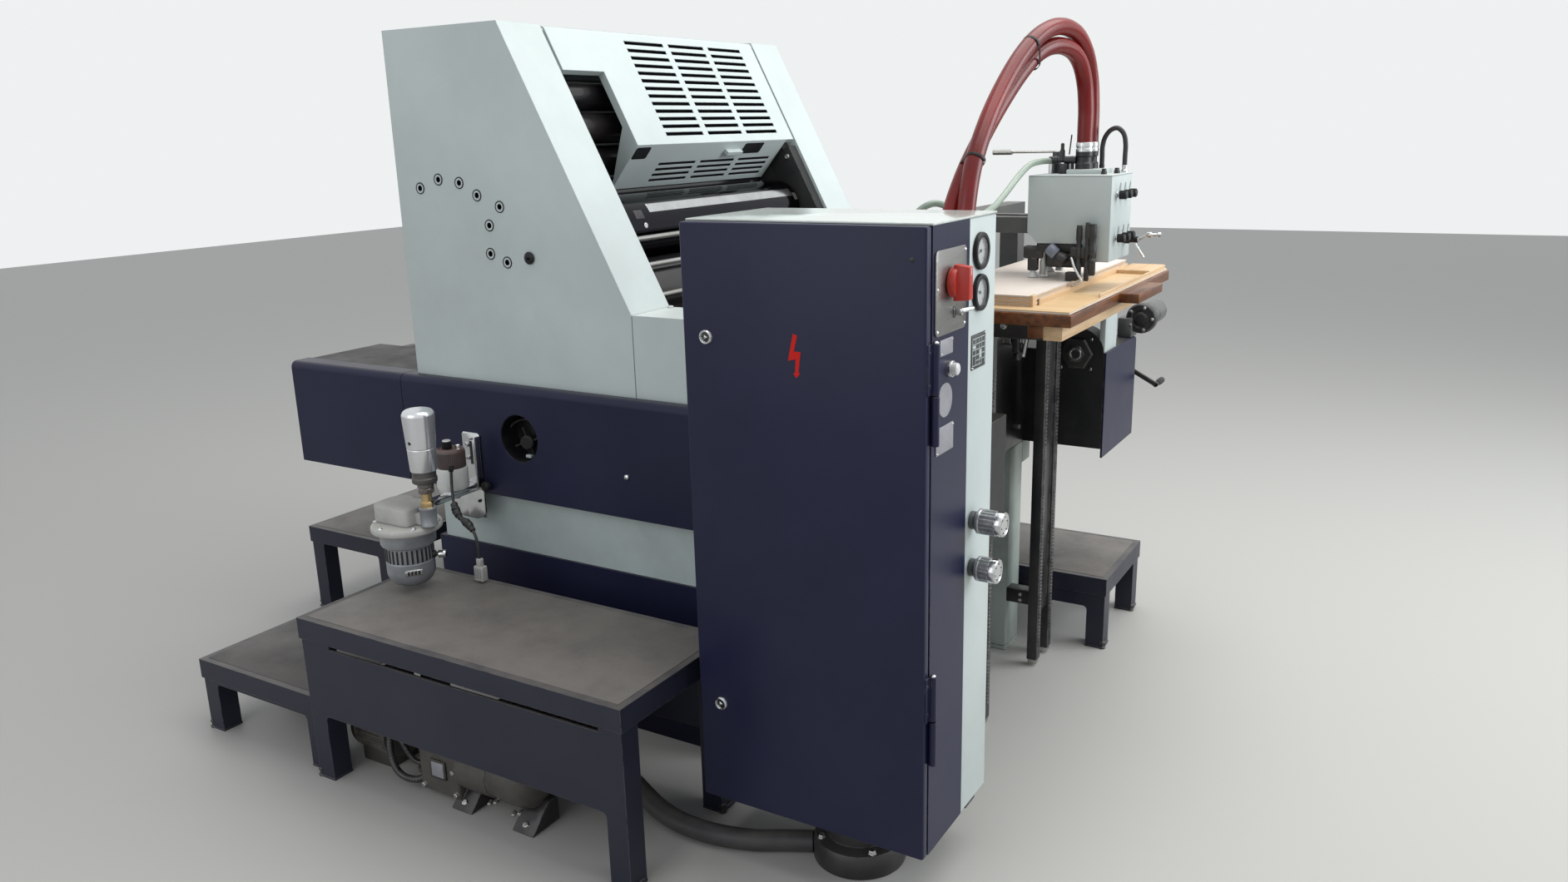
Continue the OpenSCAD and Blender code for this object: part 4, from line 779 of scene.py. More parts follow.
for name, z, long in (("regulator_upper", 0.729, 0.066), ("regulator_lower", 0.636, 0.056)):
    at = (face_x, -0.737, z)
    bm = bmesh.new()
    turned(bm, [(0, 0.0005), (0.017, 0.0005), (0.017, 0.006), (0.0155, 0.007), (0.0155, 0.01),
        (0.0185, 0.011), (0.0185, 0.0142)], at, to_feeder, mat=1, steps=48)
    turned(bm, [(0, 0.014), (0.0215, 0.014), (0.0238, 0.0156), (0.0238, 0.0205), (0.0228, 0.0212),
        (0.0228, 0.024)], at, to_feeder, steps=64)
    fluted(bm, at, to_feeder, 0.0225, long - 0.015, 0.0236, 0.0014, 18)
    turned(bm, [(0.0228, long - 0.016), (0.0236, long - 0.015), (0.0238, long - 0.004),
        (0.0226, long - 0.0008), (0.0205, long), (0.0195, long - 0.0016), (0, long - 0.002)], at, to_feeder,
        mat=2, steps=64)
    for a in around(6, 15):
        y = at[1] + 0.0152 * math.cos(a)
        turned(bm, [(0.0022, long - 0.0024), (0.0018, long - 0.0008), (0, long - 0.0008)],
            (face_x, y, z + 0.0152 * math.sin(a)), to_feeder, mat=1, steps=12)
    piece(name + "_knob", bm, name, "cast_aluminium", [knob_silver, neck_grey, chrome], name)


# Under the cabinet a black cast foot widens to the floor, held by four bolts. A steel bar beside it
# ties the cabinet to the base.
bm = bmesh.new()
turned(bm, [(0, 0.001), (0.094, 0.001), (0.095, 0.004), (0.095, 0.04), (0.09, 0.049), (0.068, 0.056),
    (0.0665, 0.118), (0.0665, 0.13), (0, 0.13)], (0.9775, -0.806, 0), to_top, steps=64)
for a in around(4, 45):
    turned(bm, [(0.0085, 0.044), (0.0085, 0.054), (0.007, 0.058), (0, 0.058)], (0.9775 + 0.08 * math.cos(a),
        -0.806 + 0.08 * math.sin(a), 0), to_top, mat=1, steps=6)
brick(bm, (0.845, -0.69, 0.09), (1.16, -0.64, 0.13), edge=0.003)
piece("round_cabinet_foot", bm, "press", "black_steel", [black_steel, bar_steel], "cabinet_stand")


# Feeder frame: a black front plate between two pale legs with flanged feet. Bars at the foot hold
# four black steel guide posts with a dark toothed rack down each, and a shelf lies on top of them.
leg_paint = finish("leg_paint", (0.4, 0.46, 0.42), (0.24, 0.27, 0.25), (0.38, 0.55), scale=5, grain=300,
    bump=0.15, wear=(0.12, 0.12, 0.11), worn=0.5)
front_x, post_x, post_top = 0.9, 0.985, 0.985
bm = bmesh.new()
brick(bm, (0.888, -0.34, 0.59), (front_x, 0.34, 0.98), edge=0.0015)
for side in (-1, 1):
    low, high = sorted((side * 0.24, side * 0.34))
    brick(bm, (0.8, low, 0.012), (front_x, high, 0.59), edge=0.004, mat=1, segments=3)
    brick(bm, (0.806, low - 0.0005, 0), (front_x, high + 0.0005, 0.012), edge=0.002, mat=1)
    low, high = sorted((side * 0.34, side * 0.4))
    brick(bm, (0.8, low, 0.526), (front_x, high, 0.59), edge=0.003, mat=1)
    low, high = sorted((side * 0.24, side * 0.28))
    brick(bm, (front_x, low, 0.15), (post_x, high, 0.19), edge=0.0015)
    for z in (0.162, 0.178):
        turned(bm, bolt(0.006, 0.004, 0.0048, 0.0052), (0.94, side * 0.24, z), (0, -side, 0), mat=2,
            steps=6)
for y in (-0.3, -0.1, 0.1, 0.3):
    for z in (0.64, 0.93):
        turned(bm, bolt(0.0085, 0.005, 0.007, 0.0066), (front_x, y, z), to_feeder, mat=2, steps=6)
brick(bm, (front_x, -0.33, 0.905), (0.906, 0.33, 0.913), edge=0.001, mat=2)
turned(bm, [(0.015, -0.001), (0.015, 0.02), (0.011, 0.024), (0.011, 0.052), (0, 0.0525)],
    (front_x, 0.18, 0.9), to_feeder, mat=2, steps=32)
brick(bm, (0.922, 0.1, 0.926), (0.948, 0.262, 0.944), edge=0.002)
brick(bm, (0.93, 0.15, 0.872), (0.946, 0.176, 0.93), edge=0.002)
turned(bm, [(0.007, 0), (0.007, 0.07), (0.009, 0.074), (0.009, 0.09), (0, 0.092)], (0.952, 0.172, 0.858),
    (0.1, 0.2, 1), mat=2, steps=24)
turned(bm, bolt(0.012, 0.01, 0.0095, 0.013), (0.938, 0.16, 0.862), (1, -0.3, 0), steps=24)
piece("feeder_front_and_legs", bm, "press", "black_steel", [black_steel, leg_paint, bar_steel],
    "feeder_frame")

bm = bmesh.new()
for y in (-0.28, -0.19, 0.19, 0.28):
    brick(bm, (post_x, y - 0.015, 0.02), (1.013, y + 0.015, post_top), edge=0.0016)
    for i in range(84):
        z = 0.06 + 0.01 * i
        brick(bm, (1.0122, y - 0.006, z), (1.015, y + 0.006, z + 0.0052), edge=0, mat=2)
    brick(bm, (0.987, y - 0.013, 0.008), (1.011, y + 0.013, 0.021), edge=0.002, mat=1)
brick(bm, (post_x, -0.295, post_top), (1.015, 0.295, 1.01), edge=0.002)
brick(bm, (0.99, 0.204, 0.15), (1.006, 0.266, post_top), edge=0.001)
for side in (-1, 1):
    low, high = sorted((side * 0.205, side * 0.265))
    brick(bm, (0.91, low, post_top), (1.172, high, 1.04), edge=0.003)
    for x in (0.94, 1.06, 1.14):
        turned(bm, socket(0.0075, 0, 0.0044, 0.006, 0.0058, 0.0034, 0.0032, 0.003),
            (x, side * 0.265, 1.012), (0, side, 0), mat=1, steps=24)
piece("rack_posts", bm, "press", "black_steel", [black_steel, bar_steel, cast_iron], "guide_posts")


# On the far frame's end the big bearing has a dark cap with a bright ring round its shaft. A pale
# sheet-steel plate stands beside it on top of the frame.
bm = bmesh.new()
bearing_at = (1.04, 0.34, 0.845)
turned(bm, [(0, -0.001), (0.046, -0.001), (0.046, 0.005), (0.042, 0.0085), (0.024, 0.0095), (0.022, 0.012),
    (0, 0.0122)], bearing_at, to_near, steps=6)
turned(bm, [(0.011, 0.011), (0.0115, 0.0142), (0.0165, 0.0142), (0.0172, 0.011), (0.011, 0.011)],
    bearing_at, to_near, mat=1, steps=40)
for a in around(4, 45):
    turned(bm, bolt(0.005, 0.003, 0.0038, 0.0042), (1.04 + 0.056 * math.cos(a), 0.34,
        0.845 + 0.056 * math.sin(a)), to_near, mat=1, steps=6)
brick(bm, (1.0995, 0.342, 0.8498), (1.1145, 0.45, 0.958), edge=0.0015, mat=2)
piece("bearing_cap_and_plate", bm, "press", "cast_dark", [black_steel, bar_steel, pale_paint])


# Pile board: varnished hardwood with a darker oiled edge, a pale raw batten under its feeder end and
# a tongue there. A thin plywood sheet with a white edge and a stack of layered sheets lie on it.
board_brown = finish("board_brown", (0.185, 0.062, 0.018), (0.06, 0.022, 0.009), (0.3, 0.46), scale=9,
    grain=120, bump=0.2, stretch=(7, 0.6, 9), wear=(0.34, 0.17, 0.07), coat=0.1, shine=0.3)
raw_wood = finish("raw_wood", (0.74, 0.52, 0.31), (0.58, 0.38, 0.2), (0.45, 0.6), scale=9, grain=140,
    bump=0.25, stretch=(7, 0.6, 9), wear=(0.62, 0.44, 0.24))
orange_ply = finish("orange_ply", (0.68, 0.49, 0.27), (0.6, 0.4, 0.2), (0.34, 0.5), scale=6, grain=140,
    bump=0.12, stretch=(0.8, 5, 1), coat=0.1)
white_edge = finish("white_edge", (0.74, 0.69, 0.62), (0.62, 0.55, 0.46), (0.4, 0.55), scale=12, bump=0.06)
stack_top = finish("stack_top", (0.74, 0.67, 0.6), (0.66, 0.58, 0.51), (0.4, 0.55), scale=3, grain=140,
    bump=0.08, stretch=(1, 0.5, 1))
bm = bmesh.new()
brick(bm, (0.905, -0.407, 1.04), (1.252, 0.407, 1.0655), edge=0.0022, segments=2)
brick(bm, (1.2505, -0.06, 1.044), (1.297, 0.15, 1.0655), edge=0.0022)
piece("hardwood_board", bm, "press", "hardwood", [board_brown], "pile_board")
bm = bmesh.new()
brick(bm, (1.192, -0.397, 1.01), (1.232, 0.397, 1.0402), edge=0.002)
brick(bm, (1.16, -0.4, 1.014), (1.1925, -0.3, 1.0402), edge=0.002, mat=1)
for y in (-0.34, -0.12, 0.12, 0.34):
    turned(bm, [(0.0044, 0.0006), (0.004, -0.0012), (0, -0.0012)], (1.212, y, 1.01), to_floor, mat=2,
        steps=16)
piece("pale_batten", bm, "press", "pale_wood", [raw_wood, board_brown, bar_steel])
bm = bmesh.new()
brick(bm, (0.91, -0.402, 1.0655), (1.247, 0.402, 1.0685), edge=0.0006, mat=1)
brick(bm, (0.911, -0.401, 1.0683), (1.246, 0.401, 1.071), edge=0.0006)
for i in range(6):
    z = 1.0705 + 0.0038 * i
    shift = (0, 0.0008, -0.0006, 0.0004, -0.0009, 0.0002)[i]
    brick(bm, (0.916, -0.3605 + shift, z), (1.1555 + shift, 0.3515 + shift, z + 0.0034), edge=0.0004,
        mat=2 if i % 2 else 3)
brick(bm, (0.915, -0.362, 1.093), (1.157, 0.352, 1.094), edge=0.0003, mat=2)
brick(bm, (1.15, -0.3615, 1.0708), (1.1568, -0.3375, 1.095), edge=0.001, mat=4)
brick(bm, (1.16, 0.252, 1.0705), (1.241, 0.397, 1.08), edge=0.001, mat=4)
brick(bm, (1.2405, -0.18, 1.0705), (1.2435, 0.397, 1.079), edge=0.0005, mat=4)
brick(bm, (1.158, -0.33, 1.0706), (1.1605, 0.352, 1.085), edge=0.0005, mat=4)
piece("plywood_and_stack", bm, "press", "pale_wood", [orange_ply, white_edge, stack_top, raw_wood,
    pale_wood], "sheet_pile")


# Feeder head: a pale painted steel case with soft edges and a stepped underside. Black knobs and
# chrome levers sit on its feeder-side face.
head_x, head_z = 1.233, 1.322
bm = bmesh.new()
case = [(1.045, head_z), (1.045, 1.198), (1.069, 1.174), (1.173, 1.174), (1.173, 1.136), (head_x, 1.136),
    (head_x, head_z)]
cut_sheet(bm, [(x, -0.09, z) for x, z in case], (0, 0.166, 0), edge=0.0022)
brick(bm, (1.0455, -0.0905, 1.3215), (1.2335, 0.0765, 1.3235), edge=0.0008)
piece("head_case", bm, "press", "pale_paint", [pale_paint], "feeder_head")

bm = bmesh.new()
for y in (-0.05, -0.01, 0.03):
    for z in (1.28, 1.186):
        turned(bm, [(0.007, 0), (0.007, 0.003), (0.005, 0.004), (0.005, 0.009)], (head_x, y, z), to_feeder,
            mat=1, steps=24)
        fluted(bm, (head_x, y, z), to_feeder, 0.007, 0.022, 0.0095, 0.0009, 14)
        turned(bm, [(0.0088, 0.022), (0.0074, 0.0236), (0, 0.0238)], (head_x, y, z), to_feeder, steps=24)
        turned(bm, [(0, 0), (0.0013, 0), (0.0013, 0.026), (0.0008, 0.028), (0, 0.028)], (1.238, y, z),
            (0.15, -0.1, 1), mat=1, steps=12)
turned(bm, [(0.0095, 0), (0.0095, 0.01), (0.007, 0.013), (0.007, 0.03), (0, 0.0305)],
    (head_x, 0.033, 1.176), to_feeder, steps=24)
crank = [Vector(p) for p in ((1.278, 0.033, 1.136), (1.254, 0.033, 1.171), (1.286, 0.033, 1.187))]
bent_rod(bm, crank, (0.0029, 0.0034), 0.0015, mat=1)
turned(bm, [(0, -0.004), (0.006, -0.003), (0.0064, 0.001), (0.0064, 0.007), (0.003, 0.009), (0.003, 0.02),
    (0.0052, 0.022), (0.0052, 0.028), (0, 0.029)], crank[2], (1, 0, 0.05), mat=1, steps=20)
piece("head_knobs_and_levers", bm, "press", "black_plastic", [black_plastic, chrome], "head_controls")

# Under the head hang oily black castings with two silver suction feet and their white cups, three
# waisted black posts, a bluish knob and a bent chrome lever.
knob_blue = finish("knob_blue", (0.16, 0.18, 0.23), (0.22, 0.24, 0.3), (0.2, 0.35), scale=30, bump=0.06)
bm = bmesh.new()
brick(bm, (1.065, -0.082, 1.152), (1.173, 0.068, 1.1745), edge=0.004, segments=3)
brick(bm, (1.088, -0.08, 1.12), (1.158, 0.056, 1.154), edge=0.006, segments=3)
for y in (-0.08, 0.036):
    brick(bm, (1.033, y, 1.138), (1.08, y + 0.024, 1.166), edge=0.004)
    brick(bm, (1.043, y + 0.003, 1.11), (1.066, y + 0.021, 1.14), edge=0.003)
    at = (1.0545, y + 0.012, 1.0948)
    turned(bm, [(0, 0.0006), (0.0124, 0), (0.013, 0.0012), (0.012, 0.003), (0.0076, 0.01), (0.0064, 0.013),
        (0.0064, 0.016)], at, to_top, mat=2, steps=32)
    at = (1.079, y + 0.012, 1.098)
    turned(bm, [(0, 0), (0.0096, 0), (0.0104, 0.0012), (0.0098, 0.0036), (0.0086, 0.004)], at, to_top,
        mat=2, steps=32)
    turned(bm, [(0.0084, 0.0038), (0.0088, 0.006), (0.0088, 0.034), (0.007, 0.037), (0.007, 0.056),
        (0, 0.056)], at, to_top, mat=1, steps=32)
for x, r, low, top in ((1.17, 0.0068, 1.098, 1.217), (1.1885, 0.0056, 1.0955, 1.2235),
        (1.2005, 0.0078, 1.108, 1.22)):
    long = top - low
    turned(bm, [(0, 0), (r * 0.85, 0), (r, 0.004), (r, long * 0.3), (r * 0.72, long * 0.33),
        (r * 0.72, long * 0.4), (r * 1.05, long * 0.43), (r * 1.05, long * 0.56), (r * 0.8, long * 0.6),
        (r * 0.8, long * 0.7), (r, long * 0.74), (r, long - 0.008), (r * 0.85, long - 0.004),
        (r * 0.9, long), (0, long)], (x, -0.104, low), to_top, steps=32)
brick(bm, (1.15, -0.104, 1.144), (1.206, -0.0895, 1.168), edge=0.003)
brick(bm, (1.15, -0.095, 1.124), (1.185, -0.079, 1.15), edge=0.003)
brick(bm, (1.143, -0.112, 1.095), (1.169, -0.092, 1.114), edge=0.002)
knob_way = (0.75, 0, -0.62)
turned(bm, [(0, 0), (0.0118, 0.001), (0.0136, 0.004), (0.0136, 0.022), (0.0118, 0.025), (0, 0.025)],
    (1.099, -0.1, 1.167), knob_way, mat=3, steps=40)
turned(bm, [(0.008, 0.024), (0.012, 0.03), (0.016, 0.04), (0.0164, 0.047), (0.015, 0.05), (0, 0.05)],
    (1.099, -0.1, 1.167), knob_way, steps=40)
bend = eased([(1.155, -0.108, 1.146), (1.163, -0.114, 1.13), (1.173, -0.117, 1.113), (1.181, -0.118, 1.101),
    (1.181, -0.118, 1.095), (1.172, -0.117, 1.089), (1.159, -0.116, 1.084)])
bent_rod(bm, bend, [0.0031] * len(bend), 0.0008, mat=4, steps=14)
piece("suction_feet_and_posts", bm, "press", "black_steel", [black_steel, cast_aluminium, white_plastic,
    knob_blue, chrome], "suction_unit")


# Sockets: on the frame the hoses end in plain black turned connectors. On the head the suction hoses
# end in black connectors with bright clamp rings, on a pale block, and the others in small unions.
bm = bmesh.new()
for x in (1.04, 1.08):
    turned(bm, [(0.0195, -0.85 + 0.85), (0.0195, 0.005), (0.0188, 0.006), (0.0188, 0.018), (0, 0.018)],
        (x, -0.55, 0.85), to_top, steps=40)
turned(bm, [(0.014, 0), (0.014, 0.008), (0.01, 0.012), (0.01, 0.018), (0, 0.018)], (0.93, -0.48, 0.85),
    to_top, steps=32)
brick(bm, (1.112, -0.03, 1.3225), (1.19, 0.072, 1.3335), edge=0.0015, mat=2)
for y in (0.005, 0.047):
    at = (1.141, y, 1.322)
    turned(bm, [(0.0195, 0.011), (0.0195, 0.024), (0.0165, 0.027), (0.0165, 0.038), (0.019, 0.04),
        (0.019, 0.05)], at, to_top, steps=40)
    turned(bm, [(0.0188, 0.0495), (0.0195, 0.05), (0.0195, 0.056), (0.0184, 0.0568), (0.0184, 0.06),
        (0.0195, 0.0608), (0.0195, 0.068), (0.0186, 0.07), (0, 0.07)], at, to_top, mat=1, steps=40)
turned(bm, [(0.005, 0), (0.005, 0.0225), (0, 0.023)], (1.066, 0, 1.322), to_top, mat=1, steps=24)
for x in (1.166, 1.218):
    turned(bm, [(0.0075, 0), (0.0075, 0.006), (0.006, 0.008), (0.006, 0.0165), (0.007, 0.018), (0, 0.018)],
        (x, 0.06, 1.322), to_top, mat=1 if x > 1.2 else 0, steps=24)
piece("hose_connectors", bm, "press", "black_steel", [black_enamel, chrome, pale_paint], "hose_sockets")

# Black valve on the head's top, with the long steel rod that runs towards the delivery side.
# It is turned from bar and held on the case by two small blocks.
bm = bmesh.new()
turned(bm, [(0, 0), (0.008, 0.0005), (0.0085, 0.004), (0.0085, 0.02), (0.006, 0.022), (0.006, 0.034),
    (0.0085, 0.036), (0.0085, 0.062), (0.006, 0.064), (0, 0.064)], (1.062, 0, 1.354), to_feeder, steps=24)
turned(bm, [(0.004, 0), (0.004, 0.04), (0, 0.041)], (1.116, 0, 1.322), to_top, steps=16)
turned(bm, [(0.006, 0), (0.006, 0.022), (0.004, 0.026), (0.004, 0.038), (0, 0.04)], (1.092, 0, 1.352),
    to_top, steps=24)
turned(bm, [(0, 0), (0.003, 0.001), (0.003, 0.11), (0.0062, 0.114), (0.0062, 0.16), (0, 0.162)],
    (1.075, 0.03, 1.372), to_delivery, mat=1, steps=16)
turned(bm, [(0, 0), (0.0016, 0), (0.0016, 0.042), (0.0008, 0.044), (0, 0.044)], (1.108, 0, 1.366),
    (0.1, 0, 1), steps=12)
brick(bm, (1.062, 0.02, 1.322), (1.078, 0.04, 1.372), edge=0.002)
brick(bm, (1.088, -0.012, 1.322), (1.108, 0.012, 1.346), edge=0.002)
for x, y in ((1.2, -0.04), (1.215, 0.01)):
    turned(bm, [(0.007, 0), (0.007, 0.006), (0.0055, 0.008), (0.0055, 0.012), (0, 0.0125)], (x, y, 1.3235),
        to_top, steps=6)
piece("head_top_valve", bm, "press", "black_steel", [black_enamel, bar_steel])

# Black cable ties hold the two suction hoses together at two places. Each is a thin plastic band
# drawn tight round both hoses.
bm = bmesh.new()
for a, b, along in (((1.0985, -0.25, 1.591), (1.0925, -0.231, 1.56), (0.013, 0.076, 0.05)),
        ((1.0762, -0.493, 1.366), (1.052, -0.458, 1.36), (0.006, 0.06, 0.078))):
    middle = (Vector(a) + Vector(b)) / 2
    along = Vector(along).normalized()
    run = Vector(b) - Vector(a)
    run -= along * run.dot(along)
    reach = run.normalized()
    out = along.cross(reach)
    loop = []
    for i in range(48):
        t = 2 * math.pi * i / 48
        far = run.length / 2 if math.cos(t) > 0 else -run.length / 2
        loop.append((reach * (far + 0.019 * math.cos(t)) + out * 0.019 * math.sin(t)))
    part = bmesh.new()
    rows = [[part.verts.new(middle + p + along * h + p.normalized() * d) for p in loop] for h,
        d in ((-0.003, 0), (-0.003, 0.0014), (0.003, 0.0014), (0.003, 0))]
    for r in range(4):
        for i in range(48):
            k = (i + 1) % 48
            part.faces.new((rows[r][i], rows[r][k], rows[(r + 1) % 4][k], rows[(r + 1) % 4][i]))
    join(bm, part)
piece("hose_ties", bm, "press", "black_plastic", [black_plastic])


# Powder sprayer: a cream cast body over a small flanged motor, and a silver pot on a brass and glass
# neck. The body hangs on a chrome bracket beside a white jar with a dark ribbed cap.
pot_silver = finish("pot_silver", (0.72, 0.73, 0.75), (0.62, 0.63, 0.65), (0.2, 0.32), metal=0.75, scale=8,
    grain=260, bump=0.02)
cream_cast = finish("cream_cast", (0.5, 0.5, 0.47), (0.38, 0.38, 0.36), (0.32, 0.5), scale=12, grain=120,
    bump=0.2, wear=(0.25, 0.24, 0.22), dust=(0.42, 0.39, 0.34, 0.4))
motor_grey = finish("motor_grey", (0.32, 0.335, 0.355), (0.22, 0.23, 0.25), (0.28, 0.45), metal=0.3,
    scale=14, grain=180, bump=0.15, wear=(0.36, 0.36, 0.36))
brass = finish("brass", (0.55, 0.4, 0.2), (0.36, 0.25, 0.13), (0.2, 0.4), metal=1.0, scale=20, bump=0.08)
dark_glass = finish("dark_glass", (0.085, 0.07, 0.062), (0.13, 0.11, 0.1), (0.05, 0.16), scale=20,
    bump=0.02, coat=0.8)
sleeve_brown = finish("sleeve_brown", (0.065, 0.064, 0.062), (0.11, 0.105, 0.1), (0.3, 0.5), metal=0.5,
    scale=20, bump=0.1)
cap_brown = finish("cap_brown", (0.075, 0.06, 0.06), (0.13, 0.085, 0.08), (0.35, 0.55), scale=18, grain=200,
    bump=0.15, dust=(0.2, 0.13, 0.12, 0.7))
motor_at = Vector((-0.175, -0.89, 0.412))
bm = bmesh.new()
bowl = [(0.02 + 0.036 * math.sin(math.radians(t)),
    0.036 - 0.036 * math.cos(math.radians(t))) for t in range(0, 91, 10)]
turned(bm, [(0, 0)] + bowl + [(0.056, 0.06), (0.0546, 0.062), (0.0546, 0.098), (0.056, 0.1),
    (0.0625, 0.1025), (0.064, 0.106), (0.064, 0.131), (0.062, 0.1335)], motor_at, to_top, mat=2, steps=64)
turned(bm, [(0.062, 0.1335), (0.079, 0.136), (0.0815, 0.1385), (0.082, 0.141), (0.082, 0.148),
    (0.0795, 0.152), (0.074, 0.155), (0, 0.157)], motor_at, to_top, mat=1, steps=64)
for a in around(30):
    spot = motor_at + Vector((0.0549 * math.cos(a), 0.0549 * math.sin(a), 0.08))
    block(bm, spot, (0.0016, 0.0021, 0.016), edge=0, mat=5, turn=Matrix.Rotation(a, 3, "Z"))
a = math.radians(-36)
spot = motor_at + Vector((0.0556 * math.cos(a), 0.0556 * math.sin(a), 0.042))
block(bm, spot, (0.0012, 0.02, 0.007), edge=0.0004, mat=6, turn=Matrix.Rotation(a, 3, "Z"))
for i in range(4):
    low = -0.015 + 0.0078 * i
    across = Matrix.Rotation(a, 3, "Z")
    nub = spot + across @ Vector((0.0008, low + 0.003, 0))
    block(bm, nub, (0.0009, 0.0024, 0.0048), edge=0, mat=5, turn=across)
for deg in (-150, -95, -30, 30, 90, 150):
    a = math.radians(deg)
    turned(bm, socket(0.006, 0, 0.003, 0.0046, 0.0042, 0.003, 0.0028, 0.0016),
        motor_at + Vector((0.0735 * math.cos(a), 0.0735 * math.sin(a), 0.153)), to_top, mat=6, steps=16)
side = Vector((0.856, 0.517, 0.0))
clamp_at = motor_at + side * 0.05 + Vector((0, 0, 0.07))
turned(bm, [(0.009, 0), (0.009, 0.01), (0.005, 0.013), (0.005, 0.02), (0, 0.02)], clamp_at, side, mat=5,
    steps=20)
turned(bm, [(0, 0.017), (0.0086, 0.018), (0.0092, 0.02), (0.0092, 0.034), (0.008, 0.036), (0, 0.036)],
    clamp_at, side, mat=6, steps=20)
outline = []
for cx, cy, r, start in ((-0.137, -0.878, 0.012, 0), (-0.217, -0.868, 0.036, 90),
        (-0.217, -0.898, 0.036, 180), (-0.137, -0.922, 0.012, 270)):
    for i in range(7):
        a = math.radians(start + 90 * i / 6)
        outline.append((cx + r * math.cos(a), cy + r * math.sin(a), 0.5682))
cut_sheet(bm, outline, (0, 0, 0.0395), edge=0.0035, mat=1)
brick(bm, (-0.235, -0.872, 0.5685), (-0.165, -0.828, 0.6018), edge=0.005, mat=1, segments=3)
brick(bm, (-0.157, -0.906, 0.5685), (-0.097, -0.874, 0.5978), edge=0.004, mat=1, segments=3)
turned(bm, [(0.02, 0), (0.02, 0.004), (0.019, 0.006), (0.019, 0.038), (0.02, 0.04), (0.02, 0.043),
    (0.0185, 0.0448), (0, 0.0448)], (-0.097, -0.89, 0.5682), to_top, mat=2, steps=48)
pot_at = (-0.097, -0.89, 0)
turned(bm, [(0.011, 0.6118), (0.0148, 0.6125), (0.015, 0.614), (0.015, 0.624), (0.0146, 0.6255),
    (0.012, 0.6256)], pot_at, to_top, mat=3, steps=6)
turned(bm, [(0.012, 0.625), (0.012, 0.647)], pot_at, to_top, mat=3, steps=32)
turned(bm, [(0.011, 0.6468), (0.018, 0.6475), (0.019, 0.6495), (0.019, 0.658), (0.0176, 0.66),
    (0.019, 0.662), (0.019, 0.673)], pot_at, to_top, mat=4, steps=48)
turned(bm, [(0.0185, 0.672), (0.0275, 0.6725), (0.0288, 0.675), (0.0288, 0.684), (0.027, 0.686),
    (0.027, 0.701)], pot_at, to_top, mat=7, steps=48)
crown = [(0.023 + 0.014 * math.cos(math.radians(t)),
    0.831 + 0.014 * math.sin(math.radians(t))) for t in range(0, 91, 15)]
turned(bm, [(0.0265, 0.7002), (0.029, 0.7005), (0.0298, 0.702), (0.0325, 0.7535), (0.0318, 0.7545),
    (0.0318, 0.7555), (0.0328, 0.7565), (0.0368, 0.826)] + crown + [(0, 0.845)], pot_at, to_top, mat=0,
    steps=64)
a = math.radians(-88)
turned(bm, [(0.0042, -0.001), (0.004, 0.001), (0.002, 0.0014), (0, 0.0006)], (-0.097 + 0.0338 * math.cos(a),
    -0.89 + 0.0338 * math.sin(a), 0.772), (math.cos(a), math.sin(a), 0), mat=5, steps=20)
piece("powder_pump_body", bm, "press", "cast_aluminium", [pot_silver, cream_cast, motor_grey, brass,
    dark_glass, black_enamel, chrome, sleeve_brown], "powder_pump")

bm = bmesh.new()
jar_at = Vector((-0.2, -0.712, 0.593))
turned(bm, [(0, 0.001), (0.031, 0), (0.0365, 0.0025), (0.039, 0.008), (0.039, 0.05), (0.0378, 0.0562),
    (0.0335, 0.0575)], jar_at, to_top, steps=56)
turned(bm, [(0.033, 0.057), (0.0352, 0.0574), (0.036, 0.059), (0.036, 0.0615)], jar_at, to_top, mat=1,
    steps=56)
fluted(bm, jar_at, to_top, 0.061, 0.0955, 0.036, 0.0011, 44, mat=1)
turned(bm, [(0.035, 0.095), (0.036, 0.096), (0.0356, 0.099), (0.033, 0.1035), (0.029, 0.1048),
    (0.0275, 0.103), (0, 0.1022)], jar_at, to_top, mat=1, steps=56)
knob_at = (-0.2055, -0.7155, 0.6955)
fluted(bm, knob_at, to_top, 0, 0.02, 0.0118, 0.0012, 18, mat=2)
turned(bm, [(0.0106, 0.02), (0.0095, 0.0224), (0, 0.023)], knob_at, to_top, steps=32)
turned(bm, [(0, 0), (0.004, 0.001), (0.004, 0.02), (0.006, 0.022), (0.006, 0.028), (0, 0.029)],
    (-0.227, -0.734, 0.68), (-0.75, -0.62, 0.1), mat=3, steps=20)
turned(bm, bolt(0.0055, 0.01, 0.004, 0.012), (-0.181, -0.704, 0.6955), to_top, mat=3, steps=6)
clip = Vector((-0.1712, -0.7408, 0.656))
block(bm, clip, (0.0115, 0.0058, 0.0058), edge=0.0015, mat=2,
    turn=Matrix.Rotation(math.radians(-45), 3, "Z"))
piece("white_jar_with_cap", bm, "press", "white_plastic", [white_plastic, cap_brown, black_plastic, chrome],
    "powder_jar")

